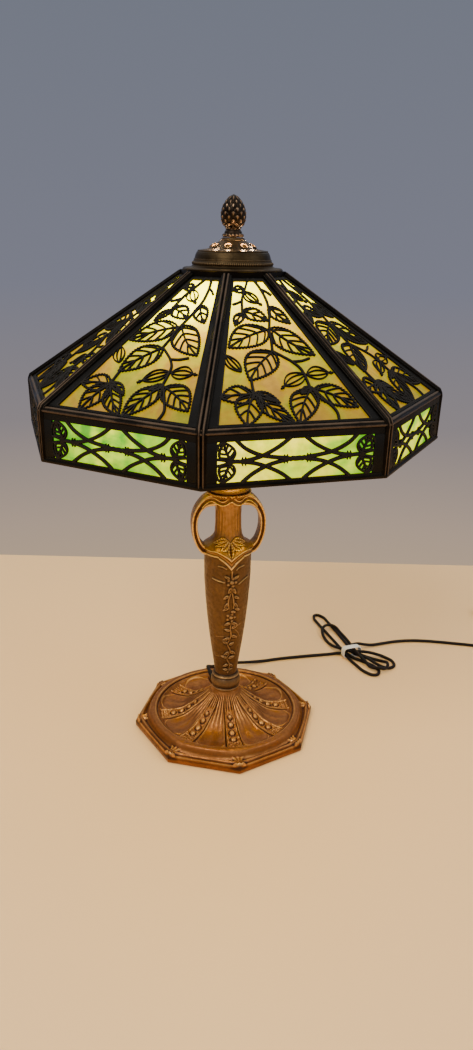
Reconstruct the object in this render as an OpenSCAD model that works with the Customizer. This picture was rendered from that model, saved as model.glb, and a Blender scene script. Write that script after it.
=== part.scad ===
// Table lamp: an eight-sided slag glass shade with leaf overlays on a cast base with two loop handles.
// Origin: centre of the foot on the table. +Z is up, the front is -Y, the handles point along X.

/* [Shade] */
// Turn of the shade's corners away from the front
shade_turn = -15.3; // [-22:0.1:22]
// Distance from the axis to a corner of the eave
eave_r = 210; // [206:0.5:214]
// Height of the eave
eave_z = 396.5; // [394:0.5:399]
// Distance from the axis to a corner of the shade's upper end
crown_r = 49.2; // [49:0.1:50]
// Height of the shade's upper end
crown_z = 504.8; // [504:0.1:505]
// Height of the vertical skirt below the eave
skirt_h = 47; // [44:0.5:50]
// Thickness of the cast overlay frames
frame_t = 2; // [1.6:0.1:2.2]
// Thickness of the glass panels
glass_t = 3; // [2.5:0.1:3]
// Width of the cast leaf outlines
leaf_line = 1.5; // [1.2:0.1:2]

/* [Base] */
// Distance from the axis to a corner of the foot
foot_r = 104.6; // [102:0.2:108]
// Height of the foot's straight side wall
foot_wall = 8; // [7.5:0.1:8.2]
// Thickness of the felt under the foot
felt_t = 1.2; // [0.8:0.1:1.4]
// Radius of the threaded rod
rod_r = 5; // [4.8:0.1:5]
// Height of the joint between the column body and the handled capital
capital_z = 216.5; // [216:0.5:217]
// Depth of a handle from front to back
handle_depth = 16; // [12:1:18]

/* [Lights] */
// Turn of the socket pair from the handles' plane
cluster_turn = 35; // [20:1:50]
// Distance from the axis to a socket's centre line
socket_x = 38; // [37:0.5:40]
// Largest radius of a bulb
bulb_r = 27; // [24:0.5:28]
// Height of the top of a bulb
bulb_top = 480; // [470:1:482]

/* [Cord] */
// Diameter of the mains cord
cord_d = 4.2; // [4:0.1:4.4]
// Radius of the coil at the middle of its turns
coil_r = 23; // [21:0.5:24]

/* [Hidden] */

$fn = 64;
sides = 8;
step_angle = 360 / sides;
half_angle = step_angle / 2;

// Shade planes: apothems are measured from the axis to the middle of a panel.
eave_ap = eave_r * cos(half_angle);
crown_ap = crown_r * cos(half_angle);
slope_len = norm([eave_ap - crown_ap, crown_z - eave_z]);
slope_angle = atan2(crown_z - eave_z, eave_ap - crown_ap);
rib_len = norm([eave_r - crown_r, crown_z - eave_z]);
rib_angle = atan2(crown_z - eave_z, eave_r - crown_r);
rib_bead_r = 3.5;
rib_ends = [7, 6.5];
rib_gap = 3.8;
slope_ends = [5, 4.3];
slope_border = [13, 7];
slope_sill = 7;
slope_lintel = 177;
glass_margin = 5.2;
slope_glass_ends = [8, 8];
rim_h = 3.5;
eave_ring_h = [2.5, 2];
ring_depth = 5.1;
post_r = 3.2;
post_inset = 2.7;
skirt_bottom = eave_z - skirt_h;
skirt_low = skirt_bottom + rim_h + 0.2;
skirt_high = eave_z - eave_ring_h[0] - 0.2;
skirt_half = 75.9;
skirt_open = [67, 16.4];
skirt_mid = skirt_bottom + 22.3;
skirt_glass_half = [74, 18.5];
line_w = 2.4;

// Rod stack above the column
bore_r = rod_r + 0.2;
rod_bore_r = 3.25;
rod_z = [26, 505];
check_z = 285;
cluster_z = 298;
arm_z = 312;
arm_r = 4;
arm_bore_r = 2.2;
arm_bend = 14;
socket_z = 332;
shell_z = [346, 394];
shell_r = 17;
thread_r = 14.4;
base_r = 13;
base_z = [372, 398];
tip_z = 369;
knob_z = 356;
knob_shaft_r = 1.6;
running_gap = 0.06;
holder_z = [492, 497, 500];
seat_z = 500.05;
seat_t = 0.95;
crown_ring_z = 501.05;
cap_z = 506.6;
stud_r = 3.2;
insert_r = 5.2;
finial_z = 536.3;

// Cord
floor_z = cord_d / 2;
gland_r = 24;
gland_turn = -17;
gland_z = 33.6;
gland_tilt = 20;
gland_out = 20;
gland_dir = [sin(gland_turn) * cos(gland_tilt), cos(gland_turn) * cos(gland_tilt), sin(gland_tilt)];
gland_pos = [gland_r * sin(gland_turn), gland_r * cos(gland_turn), gland_z];
gland_tip = gland_pos + gland_out * gland_dir;

// The cord from the strain relief over the foot to the hank, then from the hank to the coil
lead_points = [
    gland_tip, [-14, 50, 41], [-12, 60, 36.5], [-7, 71, 29.5], [-1, 81, 23.5], [7, 90, 20.5],
    [20, 102, 14.5], [36, 111, 8.5], [54, 118, 4], [72, 122, floor_z], [92, 124.5, floor_z],
    [114, 126, floor_z], [134, 127, floor_z], [152, 127.5, floor_z], [168, 128, 3], [182, 127, 6]
];
tail_points = [
    [204, 139, 8.8], [210, 141.5, 7.5], [219, 142.5, 5], [230, 143.5, 3], [246, 147, floor_z],
    [266, 150, floor_z], [288, 150, floor_z], [310, 146, floor_z], [330, 140, floor_z], [352, 132.5, floor_z],
    [373, 125, floor_z], [394, 117.5, floor_z], [412, 111, floor_z]
];
end_points = [
    [445.7, 139.5, 6.3], [444.8, 147, 6.2], [442, 156, 5.8], [438, 167, 5.2], [435.2, 177, 5.6],
    [434, 186, 6.5]];

// Hank: folds on both sides of the tie, as one outline in the hank's own frame
hank_pos = [193, 121];
hank_turn = 10;
hank_h = 15;
hank_outline = spline([
    [12.6, -6], [12.6, 8], [16.6, 22], [17, 66], [13.8, 84], [14, 116], [5, 127], [-4.2, 116],
    [-5.5, 92], [-14.5, 72], [-16, 24], [-12.6, 8], [-12.6, -6], [-7, -14], [-4.5, -32], [2, -54],
    [12, -59.5], [22, -54], [38, -46], [48.6, -28], [40, -9], [26, -6]], 3);
tie_size = [28, 9, 17];
tie_t = 1;

// Coil and plug
coil_pos = [420, 133];
coil_w = 9;
coil_h = 8.6;
plug_pos = [434, 186];
plug_turn = 5;
plug_size = [22, 30, 13];
blade_size = [1.5, 16, 6.3];
blade_gap = 12.7;

// Slope overlay: each leaf is [base across, base up, tip across, tip up, width] on its panel
LEAVES = [
    [-7, 162, -14, 170, 7], [-16.2, 138, 5, 124, 16], [10.4, 141.4, 25, 121, 14], [4, 115, -38, 93, 25],
    [4, 114, 37, 80, 24], [-1, 82, -29, 54, 24], [-28, 37, -57, 36, 19], [-28, 37, -43, 6, 16.6],
    [-27, 39, -7, 28, 9], [-26, 36, -2, 6, 15], [22, 44, -1, 6, 22], [22, 43, 59, 20, 22],
    [23, 42, 28, 6, 12]
];
// Seed pods in the same form, drawn with lengthwise lines
PODS = [[-7, 161, 4, 146, 10], [22, 59, 0, 44, 13], [23, 59, 46, 58, 14], [-35, 62, -43, 84, 9]];
STEMS = [
    [[4, 179], [10, 161], [11, 145], [8, 127], [4, 115], [3, 98], [-1, 82]],
    [[0, 179], [-7, 162], [-12, 149], [-16, 139], [-17, 132]],
    [[0, 85], [10, 79], [18, 70], [22, 62], [22, 44]],
    [[-27.4, 57], [-27, 48], [-28, 38]]
];
// Knots where leaves spring from a stem, and how far from its stem a leaf starts
KNOTS = [[4, 114.6], [22, 43.4], [-27.7, 37.3], [-7, 161.6], [22.4, 59.4]];
knot_r = 2.6;
stem_line = 2.1;
leaf_root = 0.7;

// Skirt overlay: half of each curve, mirrored about the middle of the panel
SKIRT_CURVES = [
    [[-53, 17.5], [-44, 10], [-33, 5.5], [-18, 1.5], [0, 0]],
    [[-48, -17.5], [-38, -11], [-26, -6], [-14, -1.5], [0, 0]],
    [[-51, 0], [-38, 2], [-24, 6], [-12, 11], [1, 18]],
    [[-51, 0], [-36, -3], [-24, -7], [-12, -12], [-2, -18]]
];
SKIRT_SPRAYS = [[-52, 0, -63, 13, 10], [-52, 0, -63, -13, 10]];

// Points and curves
function unit(v) = v / norm(v);
function curve_at(a, b, c, d, t) =
    0.5 * (2 * b + (c - a) * t + (2 * a - 5 * b + 4 * c - d) * t * t + (3 * b - a - 3 * c + d) * t * t * t);
function spline(p, n) = concat(
    [for (i = [0:len(p) - 2]) for (s = [0:n - 1])
        curve_at(p[max(i - 1, 0)], p[i], p[i + 1], p[min(i + 2, len(p) - 1)], s / n)],
    [p[len(p) - 1]]);
function heading(p, i) = unit(p[min(i + 1, len(p) - 1)] - p[max(i - 1, 0)]);
function beside(p, i, w) = let (d = heading(p, i)) p[i] + w * [-d.y, d.x];
function stroke(p, w) = concat(
    [for (i = [0:len(p) - 1]) beside(p, i, w / 2)],
    [for (i = [len(p) - 1:-1:0]) beside(p, i, -w / 2)]);
function moved_in(p, t) = [for (q = p) q - [t, 0]];
function back(p) = [for (i = [len(p) - 1:-1:0]) p[i]];
function leaf_half(len, w, n) = [for (i = [0:n]) [len * i / n, w / 2 * pow(sin(180 * i / n), 0.75)]];
function leaf(len, w, n) = concat(
    leaf_half(len, w, n),
    [for (i = [n - 1:-1:1]) let (q = leaf_half(len, w, n)[i]) [q.x, -q.y]]);
function ring_at(c, d, r, n) = let (x = unit(cross(d, [0.2, 0.1, 1])), y = cross(x, d))
    [for (i = [0:n - 1]) c + r * (cos(360 * i / n) * x + sin(360 * i / n) * y)];

// A tube of radius r along the points p, with flat ends square to the path
module tube(p, r, n) {
    last = len(p) - 1;
    polyhedron(
        points = [for (i = [0:last]) each ring_at(p[i], heading(p, i), r, n)],
        faces = concat(
            [for (i = [0:last - 1]) for (j = [0:n - 1]) [i * n + j, i * n + (j + 1) % n, (i + 1) * n + j]],
            [for (i = [0:last - 1]) for (j = [0:n - 1])
                [i * n + (j + 1) % n, (i + 1) * n + (j + 1) % n, (i + 1) * n + j]],
            [[for (j = [n - 1:-1:0]) j]],
            [[for (j = [0:n - 1]) last * n + j]]));
}

// Frames of reference
module panel(k) {
    rotate([0, 0, shade_turn + half_angle + step_angle * k]) children();
}
module on_slope(k) {
    panel(k) translate([0, -eave_ap, eave_z]) rotate([slope_angle, 0, 0]) children();
}
module on_skirt(k) {
    panel(k) translate([0, -eave_ap, skirt_mid]) rotate([90, 0, 0]) children();
}
module octagon(r) {
    rotate([0, 0, shade_turn - 90]) circle(r, $fn = sides);
}
module octagon_ring(r, depth, h) {
    linear_extrude(h) difference() {
        octagon(r);
        octagon(r - depth);
    }
}
module at_socket(side) {
    rotate([0, 0, cluster_turn + 180 * side]) translate([socket_x, 0, 0]) children();
}
module both_sockets() {
    for (side = [0, 1]) at_socket(side) children();
}
module hex_nut(r, h, hole_r) {
    difference() {
        cylinder(r = r, h = h, $fn = 6);
        translate([0, 0, -1]) cylinder(r = hole_r, h = h + 2);
    }
}
module tipped(l) {
    translate([l[0], l[1]]) rotate(atan2(l[3] - l[1], l[2] - l[0])) children();
}
function tipped_len(l) = norm([l[2] - l[0], l[3] - l[1]]);

// Base
dish = spline([
    [80.2, 18.6], [77.5, 15.2], [74, 12.8], [62, 12.9], [50, 15.3], [37.6, 23.2], [25, 33.3],
    [17.6, 41.2], [14.8, 46]], 3);
rim_cove = spline([[95.5, 9], [92.6, 10.6], [90.2, 15], [86, 18.2], [80.2, 18.6]], 3);
underside = [
    [11.5, 40], [13, 37], [23, 30], [36, 19.6], [50, 11.6], [62, 9.6], [86, 9.6], [89, 5], [95.5, 5]];

module foot() {
    color("#a8702c") difference() {
        union() {
            translate([0, 0, felt_t]) linear_extrude(foot_wall - felt_t) difference() {
                rotate([0, 0, -90]) circle(foot_r, $fn = sides);
                circle(89);
            }
            translate([0, 0, foot_wall]) linear_extrude(1.4) difference() {
                rotate([0, 0, -90]) circle(foot_r - 4, $fn = sides);
                circle(89);
            }
            rotate_extrude() polygon(concat(rim_cove, dish, [[rod_r, 46], [rod_r, 40]], underside));
            for (k = [0:sides - 1]) rotate([0, 0, step_angle * k]) {
                foot_clasp();
                foot_band();
            }
        }
        translate([0, 0, 30]) cylinder(r = bore_r, h = 20);
        at_gland() translate([0, 0, -12]) cylinder(r = 4.45, h = 30);
    }
}
module foot_clasp() {
    translate([0, -97, 9]) rotate([90, 0, 0]) translate([0, 0, -6]) cylinder(r = 6.2, h = 11);
}
module foot_band() {
    band_angle = 15;
    rotate([0, 0, -90 - band_angle / 2]) rotate_extrude(angle = band_angle)
        polygon([
            [76, 12], [76, 14.4], [62, 14], [50, 16.4], [37.6, 24.3], [30, 30], [30, 27], [50, 14],
            [62, 12]]);
    for (rosette = [[62, 13.6, 4], [50, 15.8, 3], [38, 23.8, 2.4]])
        translate([0, -rosette[0], rosette[1]]) sphere(rosette[2]);
}
module felt_pad() {
    color("#3c3f36") linear_extrude(felt_t) difference() {
        rotate([0, 0, -90]) circle(foot_r - 2, $fn = sides);
        circle(14);
    }
}
module rod_washer() {
    color("#b59a58") translate([0, 0, 38.6]) difference() {
        cylinder(r = 10.5, h = 1.4);
        translate([0, 0, -1]) cylinder(r = rod_r, h = 4);
    }
}
module rod_nuts() {
    color("#b59a58") {
        translate([0, 0, 32.6]) hex_nut(9, 6, rod_r);
        translate([0, 0, holder_z[0] - 6]) hex_nut(9, 6, rod_r);
    }
}
module at_gland() {
    translate(gland_pos) rotate([0, 0, -gland_turn]) rotate([gland_tilt - 90, 0, 0]) children();
}
module cord_grommet() {
    color("#2a1c14") at_gland() {
        difference() {
            union() {
                translate([0, 0, -6]) cylinder(r = 4.4, h = 9);
                translate([0, 0, 3]) cylinder(r1 = 4.4, r2 = 2.9, h = gland_out - 3);
            }
            translate([0, 0, -8]) cylinder(r = 1.9, h = gland_out + 16);
        }
    }
}
module collar() {
    outline = spline([
        [14.6, 46], [16.6, 49.5], [17, 54], [16.4, 58.5], [15.6, 62], [14.2, 64.6], [12.6, 66.5]], 3);
    color("#9a7434") rotate_extrude() polygon(concat([[bore_r, 46]], outline, [[bore_r, 66.5]]));
}
module column_body() {
    outline = spline([
        [12.5, 66.5], [13.7, 76], [18.9, 113], [22.8, 148], [25.2, 182], [25.6, 200],
        [25.7, capital_z]], 4);
    cavity = [[bore_r, 210], [21, 210], [22.2, 182], [19.8, 148], [15.9, 113], [10.4, 74], [bore_r, 74]];
    color("#8a6a34") {
        rotate_extrude() polygon(concat([[bore_r, 66.5]], outline, [[bore_r, capital_z]], cavity));
        for (rose = [[188, 24.9], [144.5, 22]]) translate([0, 0, rose[0]]) rotate([90, 0, 0])
            translate([0, 0, rose[1] - 2]) cylinder(r = 5.5, h = 3.4);
    }
}

// Capital: a flared neck with two loop handles. A pointed apron hangs below at the front and back,
// and a curved brow joins the handles across the neck above.
module handled_capital() {
    outline = spline([
        [27.5, capital_z], [27.6, 220], [27.1, 222.6], [25.4, 224.2], [22, 226], [18.6, 229],
        [16.4, 232.6], [15, 237], [14.2, 244], [14, 253], [14, 262], [14.4, 268], [15.6, 273],
        [17.6, 277], [20.4, 281], [24, check_z]], 2);
    cavity = [
        [bore_r, 262], [9.8, 262], [9.8, 244], [11.5, 236], [14.5, 230], [16, 225], [16, 220],
        [bore_r, 220]];
    color("#b98a35") {
        rotate_extrude() polygon(concat([[bore_r, capital_z]], outline, [[bore_r, check_z]], cavity));
        handle();
        mirror([1, 0, 0]) handle();
        apron();
        mirror([0, 1, 0]) apron();
        brow();
        mirror([0, 1, 0]) brow();
    }
}
module handle() {
    outside = spline([
        [26.1, 213.6], [29.4, 215.6], [33.2, 221], [36.9, 228.5], [39.3, 237], [40.2, 247], [39.5, 257],
        [36.6, 266], [31.6, 274], [26.6, 279.8], [21, 283.4]], 3);
    gap = spline([
        [15, 268.2], [19.6, 268.6], [24, 268.3], [28.2, 265.4], [31.8, 260], [33.7, 253.5], [34, 246],
        [32.5, 236.5], [29.4, 230], [25.4, 226.9], [21.4, 226.6], [18, 228]], 3);
    rotate([90, 0, 0]) translate([0, 0, -handle_depth / 2]) linear_extrude(handle_depth)
        polygon(concat(outside, [[12, 283], [12, 269]], gap, [[18, 221], [26.1, 218.5]]));
}
module apron() {
    side = [[2, 204.9], [4.6, 208], [7.6, 211], [10.8, 213.5], [14.2, 215.4], [18, capital_z + 0.7]];
    front_shell(27.2, 25.85, 200, concat([[0, 202.4]], side, mirrored(side)));
}
module brow() {
    low = [[4, 273.4], [9, 271.8], [14, 272.4], [19, 274.6]];
    high = [[19, 280.4], [14, 279.8], [9, 277.9], [4, 280.4]];
    front_shell(19.6, 14.6, 268, concat(
        [[0, 276]], low, high, [[0, 283.6]], mirrored(high), mirrored(low)));
}
// The same points on the other side of the middle, in the opposite order
function mirrored(side) = [for (i = [len(side) - 1:-1:0]) [-side[i][0], side[i][1]]];
// The front of a tube between two radii, cut to an outline seen from the front
module front_shell(outer, inner, low, outline) {
    intersection() {
        translate([0, 0, low]) difference() {
            cylinder(r = outer, h = 20);
            translate([0, 0, -1]) cylinder(r = inner, h = 22);
        }
        rotate([90, 0, 0]) linear_extrude(40) polygon(outline);
    }
}
module check_ring() {
    outline = spline([[21, check_z], [22.5, 287.5], [21, 290], [16, 292.5], [14, 296], [14, cluster_z]], 3);
    color("#a8803a") rotate_extrude() polygon(concat([[bore_r, check_z]], outline, [[bore_r, cluster_z]]));
}

// Rod and lights
module threaded_rod() {
    slot = [4, 5];
    color("#c0a468") difference() {
        translate([0, 0, rod_z[0]]) cylinder(r = rod_r, h = rod_z[1] - rod_z[0]);
        translate([0, 0, rod_z[0] - 1]) cylinder(r = rod_bore_r, h = rod_z[1] - rod_z[0] + 2);
        rotate([0, 0, cluster_turn]) translate([-10, -slot[0] / 2, arm_z - slot[1] / 2])
            cube([20, slot[0], slot[1]]);
    }
}
// A round bar along one arm, from the axis side at start up to the height top
module arm_path(r, start, top) {
    bend_x = socket_x - arm_bend;
    translate([start, 0, arm_z]) rotate([0, 90, 0]) cylinder(r = r, h = bend_x - start);
    translate([bend_x, 0, arm_z + arm_bend]) rotate([90, 0, 0]) rotate([0, 0, -90])
        rotate_extrude(angle = 90) translate([arm_bend, 0]) circle(r);
    translate([socket_x, 0, arm_z + arm_bend]) cylinder(r = r, h = top - arm_z - arm_bend);
}
module cluster_body() {
    outline = spline([[11, cluster_z], [14.5, 301], [16, 307], [16, 317], [14.5, 322], [9, 325]], 3);
    chamber = [[bore_r, 321], [10, 321], [12.5, 316], [12.5, 308], [10, 303], [bore_r, 303]];
    color("#b8923f") {
        difference() {
            union() {
                rotate_extrude() polygon(concat([[bore_r, cluster_z]], outline, [[bore_r, 325]], chamber));
                for (side = [0, 1]) rotate([0, 0, cluster_turn + 180 * side])
                    arm_path(arm_r, 14, socket_z + 3);
            }
            for (side = [0, 1]) rotate([0, 0, cluster_turn + 180 * side])
                arm_path(arm_bore_r, 8, socket_z + 4);
        }
    }
}
module wiring() {
    wire_r = 1.5;
    feed = [
        [0, 0, arm_z - 1.6], [0, 0, 200], [0, 0, 60], [0, 0, 29], [0, 1, 22], [-1, 4, 18], [-3, 9, 18],
        [-4.6, 14, 22], gland_pos - 8 * gland_dir];
    color("#2a1c14") {
        tube(feed, 1.8, 8);
        for (side = [0, 1]) rotate([0, 0, cluster_turn + 180 * side]) arm_path(wire_r, 0, socket_z + 8);
    }
}
module socket_caps() {
    outline = [
        [arm_r, socket_z], [9, socket_z], [14, socket_z + 3], [shell_r, socket_z + 9], [shell_r, shell_z[0]]];
    hollow = [
        [shell_r - 1, shell_z[0]], [shell_r - 1, socket_z + 9.4], [13.2, socket_z + 4],
        [arm_r, socket_z + 4]];
    color("#c09a45") both_sockets() rotate_extrude() polygon(concat(outline, hollow));
}
module socket_shells() {
    color("#c09a45") both_sockets() difference() {
        translate([0, 0, shell_z[0]]) cylinder(r = shell_r, h = shell_z[1] - shell_z[0]);
        translate([0, 0, shell_z[0] - 1]) cylinder(r = shell_r - 1, h = 60);
        translate([0, 0, knob_z]) rotate([0, 90, 0]) cylinder(r = knob_shaft_r + running_gap, h = 30);
    }
}
module socket_blocks() {
    color("#e6e0d0") both_sockets() difference() {
        translate([0, 0, socket_z + 10.2]) cylinder(r = 15.6, h = 24.3);
        translate([0, 0, knob_z]) rotate([0, 90, 0]) cylinder(r = knob_shaft_r + running_gap, h = 30);
        translate([0, 0, socket_z + 8]) cylinder(r = 6, h = 6);
    }
}
module socket_threads() {
    low = socket_z + 34.5;
    color("#c9a253") both_sockets() difference() {
        translate([0, 0, low]) cylinder(r = thread_r, h = base_z[1] - 1 - low);
        translate([0, 0, low + 1]) cylinder(r = base_r + running_gap, h = 40);
    }
}
module switch_knob() {
    translate([0, 0, knob_z]) {
        rotate([0, 90, 0]) translate([0, 0, 6]) cylinder(r = knob_shaft_r, h = 16);
        translate([27, 0, 0]) rotate([90, 0, 0]) translate([0, 0, -1.5]) cylinder(r = 6, h = 3);
    }
}
module switch_knob_1() { color("#1c1814") at_socket(0) switch_knob(); }
module switch_knob_2() { color("#1c1814") at_socket(1) switch_knob(); }
module bulb_glass() {
    wall = 1;
    outline = spline([
        [12.4, base_z[1]], [13.5, 408], [18, 421], [bulb_r - 2, 435], [bulb_r, 449], [bulb_r - 3.5, 464],
        [14.5, 475.5], [7, 479], [0, bulb_top]], 3);
    inside = moved_in([for (q = back(outline)) if (q.x > 4) q], wall);
    rotate_extrude() polygon(concat(outline, [[0, bulb_top - wall]], inside));
}
module bulb_base() {
    difference() {
        translate([0, 0, base_z[0]]) cylinder(r = base_r, h = base_z[1] - base_z[0]);
        translate([0, 0, base_z[0] + 5]) cylinder(r = 11.4, h = 30);
    }
}
module bulb_contact() {
    translate([0, 0, tip_z]) cylinder(r = 4.5, h = base_z[0] - tip_z - 0.1);
}
module bulb_glass_1() { color("#fff4d0") at_socket(0) bulb_glass(); }
module bulb_glass_2() { color("#fff4d0") at_socket(1) bulb_glass(); }
module bulb_base_1() { color("#c8ccd0") at_socket(0) bulb_base(); }
module bulb_base_2() { color("#c8ccd0") at_socket(1) bulb_base(); }
module bulb_contact_1() { color("#8c8f94") at_socket(0) bulb_contact(); }
module bulb_contact_2() { color("#8c8f94") at_socket(1) bulb_contact(); }

// Shade seat
module shade_holder() {
    color("#a08040") difference() {
        union() {
            translate([0, 0, holder_z[0]]) cylinder(r = 9, h = holder_z[2] - holder_z[0]);
            for (k = [0:3]) rotate([0, 0, 45 + 90 * k]) translate([0, -3, holder_z[1]]) cube([38, 6, 3]);
            translate([0, 0, holder_z[1]]) difference() {
                cylinder(r = 41, h = 3);
                translate([0, 0, -1]) cylinder(r = 36, h = 5);
            }
        }
        translate([0, 0, holder_z[0] - 1]) cylinder(r = rod_r, h = 20);
    }
}
module seat_washer() {
    color("#5a3a26") translate([0, 0, seat_z]) difference() {
        cylinder(r = 41, h = seat_t);
        translate([0, 0, -1]) cylinder(r = 36, h = seat_t + 2);
    }
}

// Shade metalwork
module crown_ring() {
    color("#3a2a20") {
        translate([0, 0, crown_ring_z]) linear_extrude(2.4) difference() {
            octagon(51.5);
            circle(35);
        }
        translate([0, 0, crown_ring_z + 2]) linear_extrude(cap_z - 0.05 - crown_ring_z - 2) difference() {
            octagon(51.5);
            circle(43);
        }
    }
}
module corner_strips() {
    color("#3a2a20") for (k = [0:sides - 1]) rotate([0, 0, shade_turn + step_angle * k]) {
        translate([0, -eave_r, eave_z]) rotate([rib_angle, 0, 0]) translate([0, rib_ends[0], -0.6])
            rotate([-90, 0, 0]) cylinder(r = rib_bead_r, h = rib_len - rib_ends[0] - rib_ends[1], $fn = 24);
        translate([0, -(eave_r - post_inset), skirt_low])
            cylinder(r = post_r, h = skirt_high - skirt_low, $fn = 24);
    }
}
module eave_ring() {
    color("#4a352a") translate([0, 0, eave_z - eave_ring_h[0]])
        octagon_ring(eave_r + 0.3, ring_depth, eave_ring_h[0] + eave_ring_h[1]);
}
module bottom_rim() {
    color("#4a352a") translate([0, 0, skirt_bottom]) octagon_ring(eave_r + 0.6, ring_depth, rim_h);
}

// Half the width of a slope panel at the height v up its slope, less a margin square to the corner
function slope_half(v, margin) = (eave_ap - v * cos(slope_angle)) * tan(half_angle) - margin;
module slope_outline(low, high, margins) {
    polygon([
        [-slope_half(low, margins[0]), low], [slope_half(low, margins[0]), low],
        [slope_half(high, margins[1]), high], [-slope_half(high, margins[1]), high]]);
}
module leaf_ring(l) {
    len = tipped_len(l) - leaf_root;
    tipped(l) translate([leaf_root, 0, 0]) {
        linear_extrude(frame_t) difference() {
            polygon(leaf(len, l[4], 5));
            translate([leaf_line * 1.6, 0]) polygon(leaf(len - leaf_line * 3.2, l[4] - 2 * leaf_line, 5));
        }
        translate([0.3, -leaf_line / 2, 0.1]) cube([len - 1.3, leaf_line, frame_t - 0.3]);
    }
}
module slope_frame(k) {
    color("#33261e") on_slope(k) translate([0, 0, -frame_t]) {
        linear_extrude(frame_t) difference() {
            slope_outline(slope_ends[0], slope_len - slope_ends[1], [rib_gap, rib_gap]);
            slope_outline(slope_sill, slope_lintel, slope_border);
        }
        for (l = LEAVES) leaf_ring(l);
        for (l = PODS) leaf_ring(l);
        for (s = STEMS) translate([0, 0, 0.15]) linear_extrude(frame_t - 0.25) polygon(stroke(s, stem_line));
        for (c = KNOTS) translate([c.x, c.y, 0.2]) cylinder(r = knot_r, h = frame_t);
    }
}
module slope_glass(k) {
    color("#d8b428") on_slope(k) translate([0, 0, -frame_t - glass_t]) linear_extrude(glass_t)
        slope_outline(slope_glass_ends[0], slope_len - slope_glass_ends[1], [glass_margin, glass_margin]);
}
module slope_frame_1() { slope_frame(0); }
module slope_frame_2() { slope_frame(1); }
module slope_frame_3() { slope_frame(2); }
module slope_frame_4() { slope_frame(3); }
module slope_frame_5() { slope_frame(4); }
module slope_frame_6() { slope_frame(5); }
module slope_frame_7() { slope_frame(6); }
module slope_frame_8() { slope_frame(7); }
module slope_glass_1() { slope_glass(0); }
module slope_glass_2() { slope_glass(1); }
module slope_glass_3() { slope_glass(2); }
module slope_glass_4() { slope_glass(3); }
module slope_glass_5() { slope_glass(4); }
module slope_glass_6() { slope_glass(5); }
module slope_glass_7() { slope_glass(6); }
module slope_glass_8() { slope_glass(7); }

module skirt_frame() {
    linear_extrude(frame_t) difference() {
        translate([-skirt_half, skirt_low - skirt_mid]) square([2 * skirt_half, skirt_high - skirt_low]);
        translate([-skirt_open.x, -skirt_open.y]) square(2 * skirt_open);
    }
    for (side = [0, 1]) mirror([side, 0, 0]) {
        for (c = SKIRT_CURVES) linear_extrude(frame_t) polygon(stroke(c, line_w));
        for (l = SKIRT_SPRAYS) leaf_ring(l);
        translate([-62, -line_w / 2, 0]) cube([14, line_w, frame_t]);
    }
}
module skirt_frames() {
    color("#33261e") for (k = [0:sides - 1]) on_skirt(k) translate([0, 0, -frame_t]) skirt_frame();
}
module skirt_glass() {
    color("#7fd060") for (k = [0:sides - 1]) on_skirt(k) translate([0, 0, -frame_t - glass_t])
        linear_extrude(glass_t) translate(-skirt_glass_half) square(2 * skirt_glass_half);
}
// A bent tab: it stands beside the glass edge and its lip lies behind the glass
module clip() {
    tab_w = 7;
    tab_t = 0.8;
    lip = 4;
    translate([0.1, -tab_w / 2, -frame_t - glass_t - tab_t]) cube([tab_t, tab_w, glass_t + tab_t]);
    translate([-lip, -tab_w / 2, -frame_t - glass_t - tab_t]) cube([lip + tab_t, tab_w, tab_t]);
}
module glass_clips() {
    color("#6a5038") for (k = [0:sides - 1]) {
        on_slope(k) for (v = [30, 130]) for (side = [0, 1]) mirror([side, 0, 0])
            translate([slope_half(v, glass_margin), v, 0])
                rotate([0, 0, atan(cos(slope_angle) * tan(half_angle))]) clip();
        on_skirt(k) for (side = [0, 1]) mirror([side, 0, 0]) translate([skirt_glass_half.x, 0, 0]) clip();
    }
}

// Cap and finial
module finial_stud() {
    color("#c0a468") translate([0, 0, 485]) cylinder(r = stud_r, h = 64);
}
module shade_cap() {
    outline = spline([
        [48, cap_z], [48.2, cap_z + 1.2], [46.5, 508.6], [40.6, 509.6], [38.6, 511], [39, 512.6],
        [38, 514.4], [36.6, 517], [35.6, 520.6], [32.6, 524.4], [24.5, 525.8], [21.5, 527.4], [15, 531.6],
        [11.8, 533.8], [10.4, 536]], 2);
    inside = [
        [6, 534.4], [10.2, 532.2], [14, 530], [20.6, 525.8], [24, 524.2], [30.4, 523], [33.2, 520],
        [35, 516.8],
        [37.2, 513.4], [37.4, 510.6], [39.6, 508.4], [44, cap_z]];
    vents = 8;
    vent_slope = 33;
    color("#6a4a30") difference() {
        rotate_extrude() polygon(concat(outline, [[stud_r + 0.1, 536], [stud_r + 0.1, 534.4]], inside));
        for (k = [0:vents - 1]) rotate([0, 0, 360 / vents * (k + 0.5)]) translate([0, -19.6, 528.6])
            rotate([vent_slope, 0, 0]) translate([0, 0, -5]) cylinder(r = 3.1, h = 9, $fn = 24);
    }
}
module finial_insert() {
    color("#c9a253") translate([0, 0, finial_z + 0.2]) difference() {
        cylinder(r = insert_r, h = 14.6);
        translate([0, 0, -1]) cylinder(r = stud_r + 0.05, h = 20);
    }
}
module finial() {
    outline = spline([
        [10.2, finial_z], [10, 539], [8.6, 541.2], [7.2, 543.2], [8.8, 545.5], [11.2, 550], [12.2, 554.5],
        [11.4, 561], [8.6, 567.5], [4.6, 572.6], [0, 574.5]], 3);
    color("#7a4a2a") difference() {
        rotate_extrude() polygon(concat([[0, finial_z]], outline));
        translate([0, 0, finial_z - 1]) cylinder(r = insert_r + running_gap, h = 16.4);
    }
}

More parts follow.
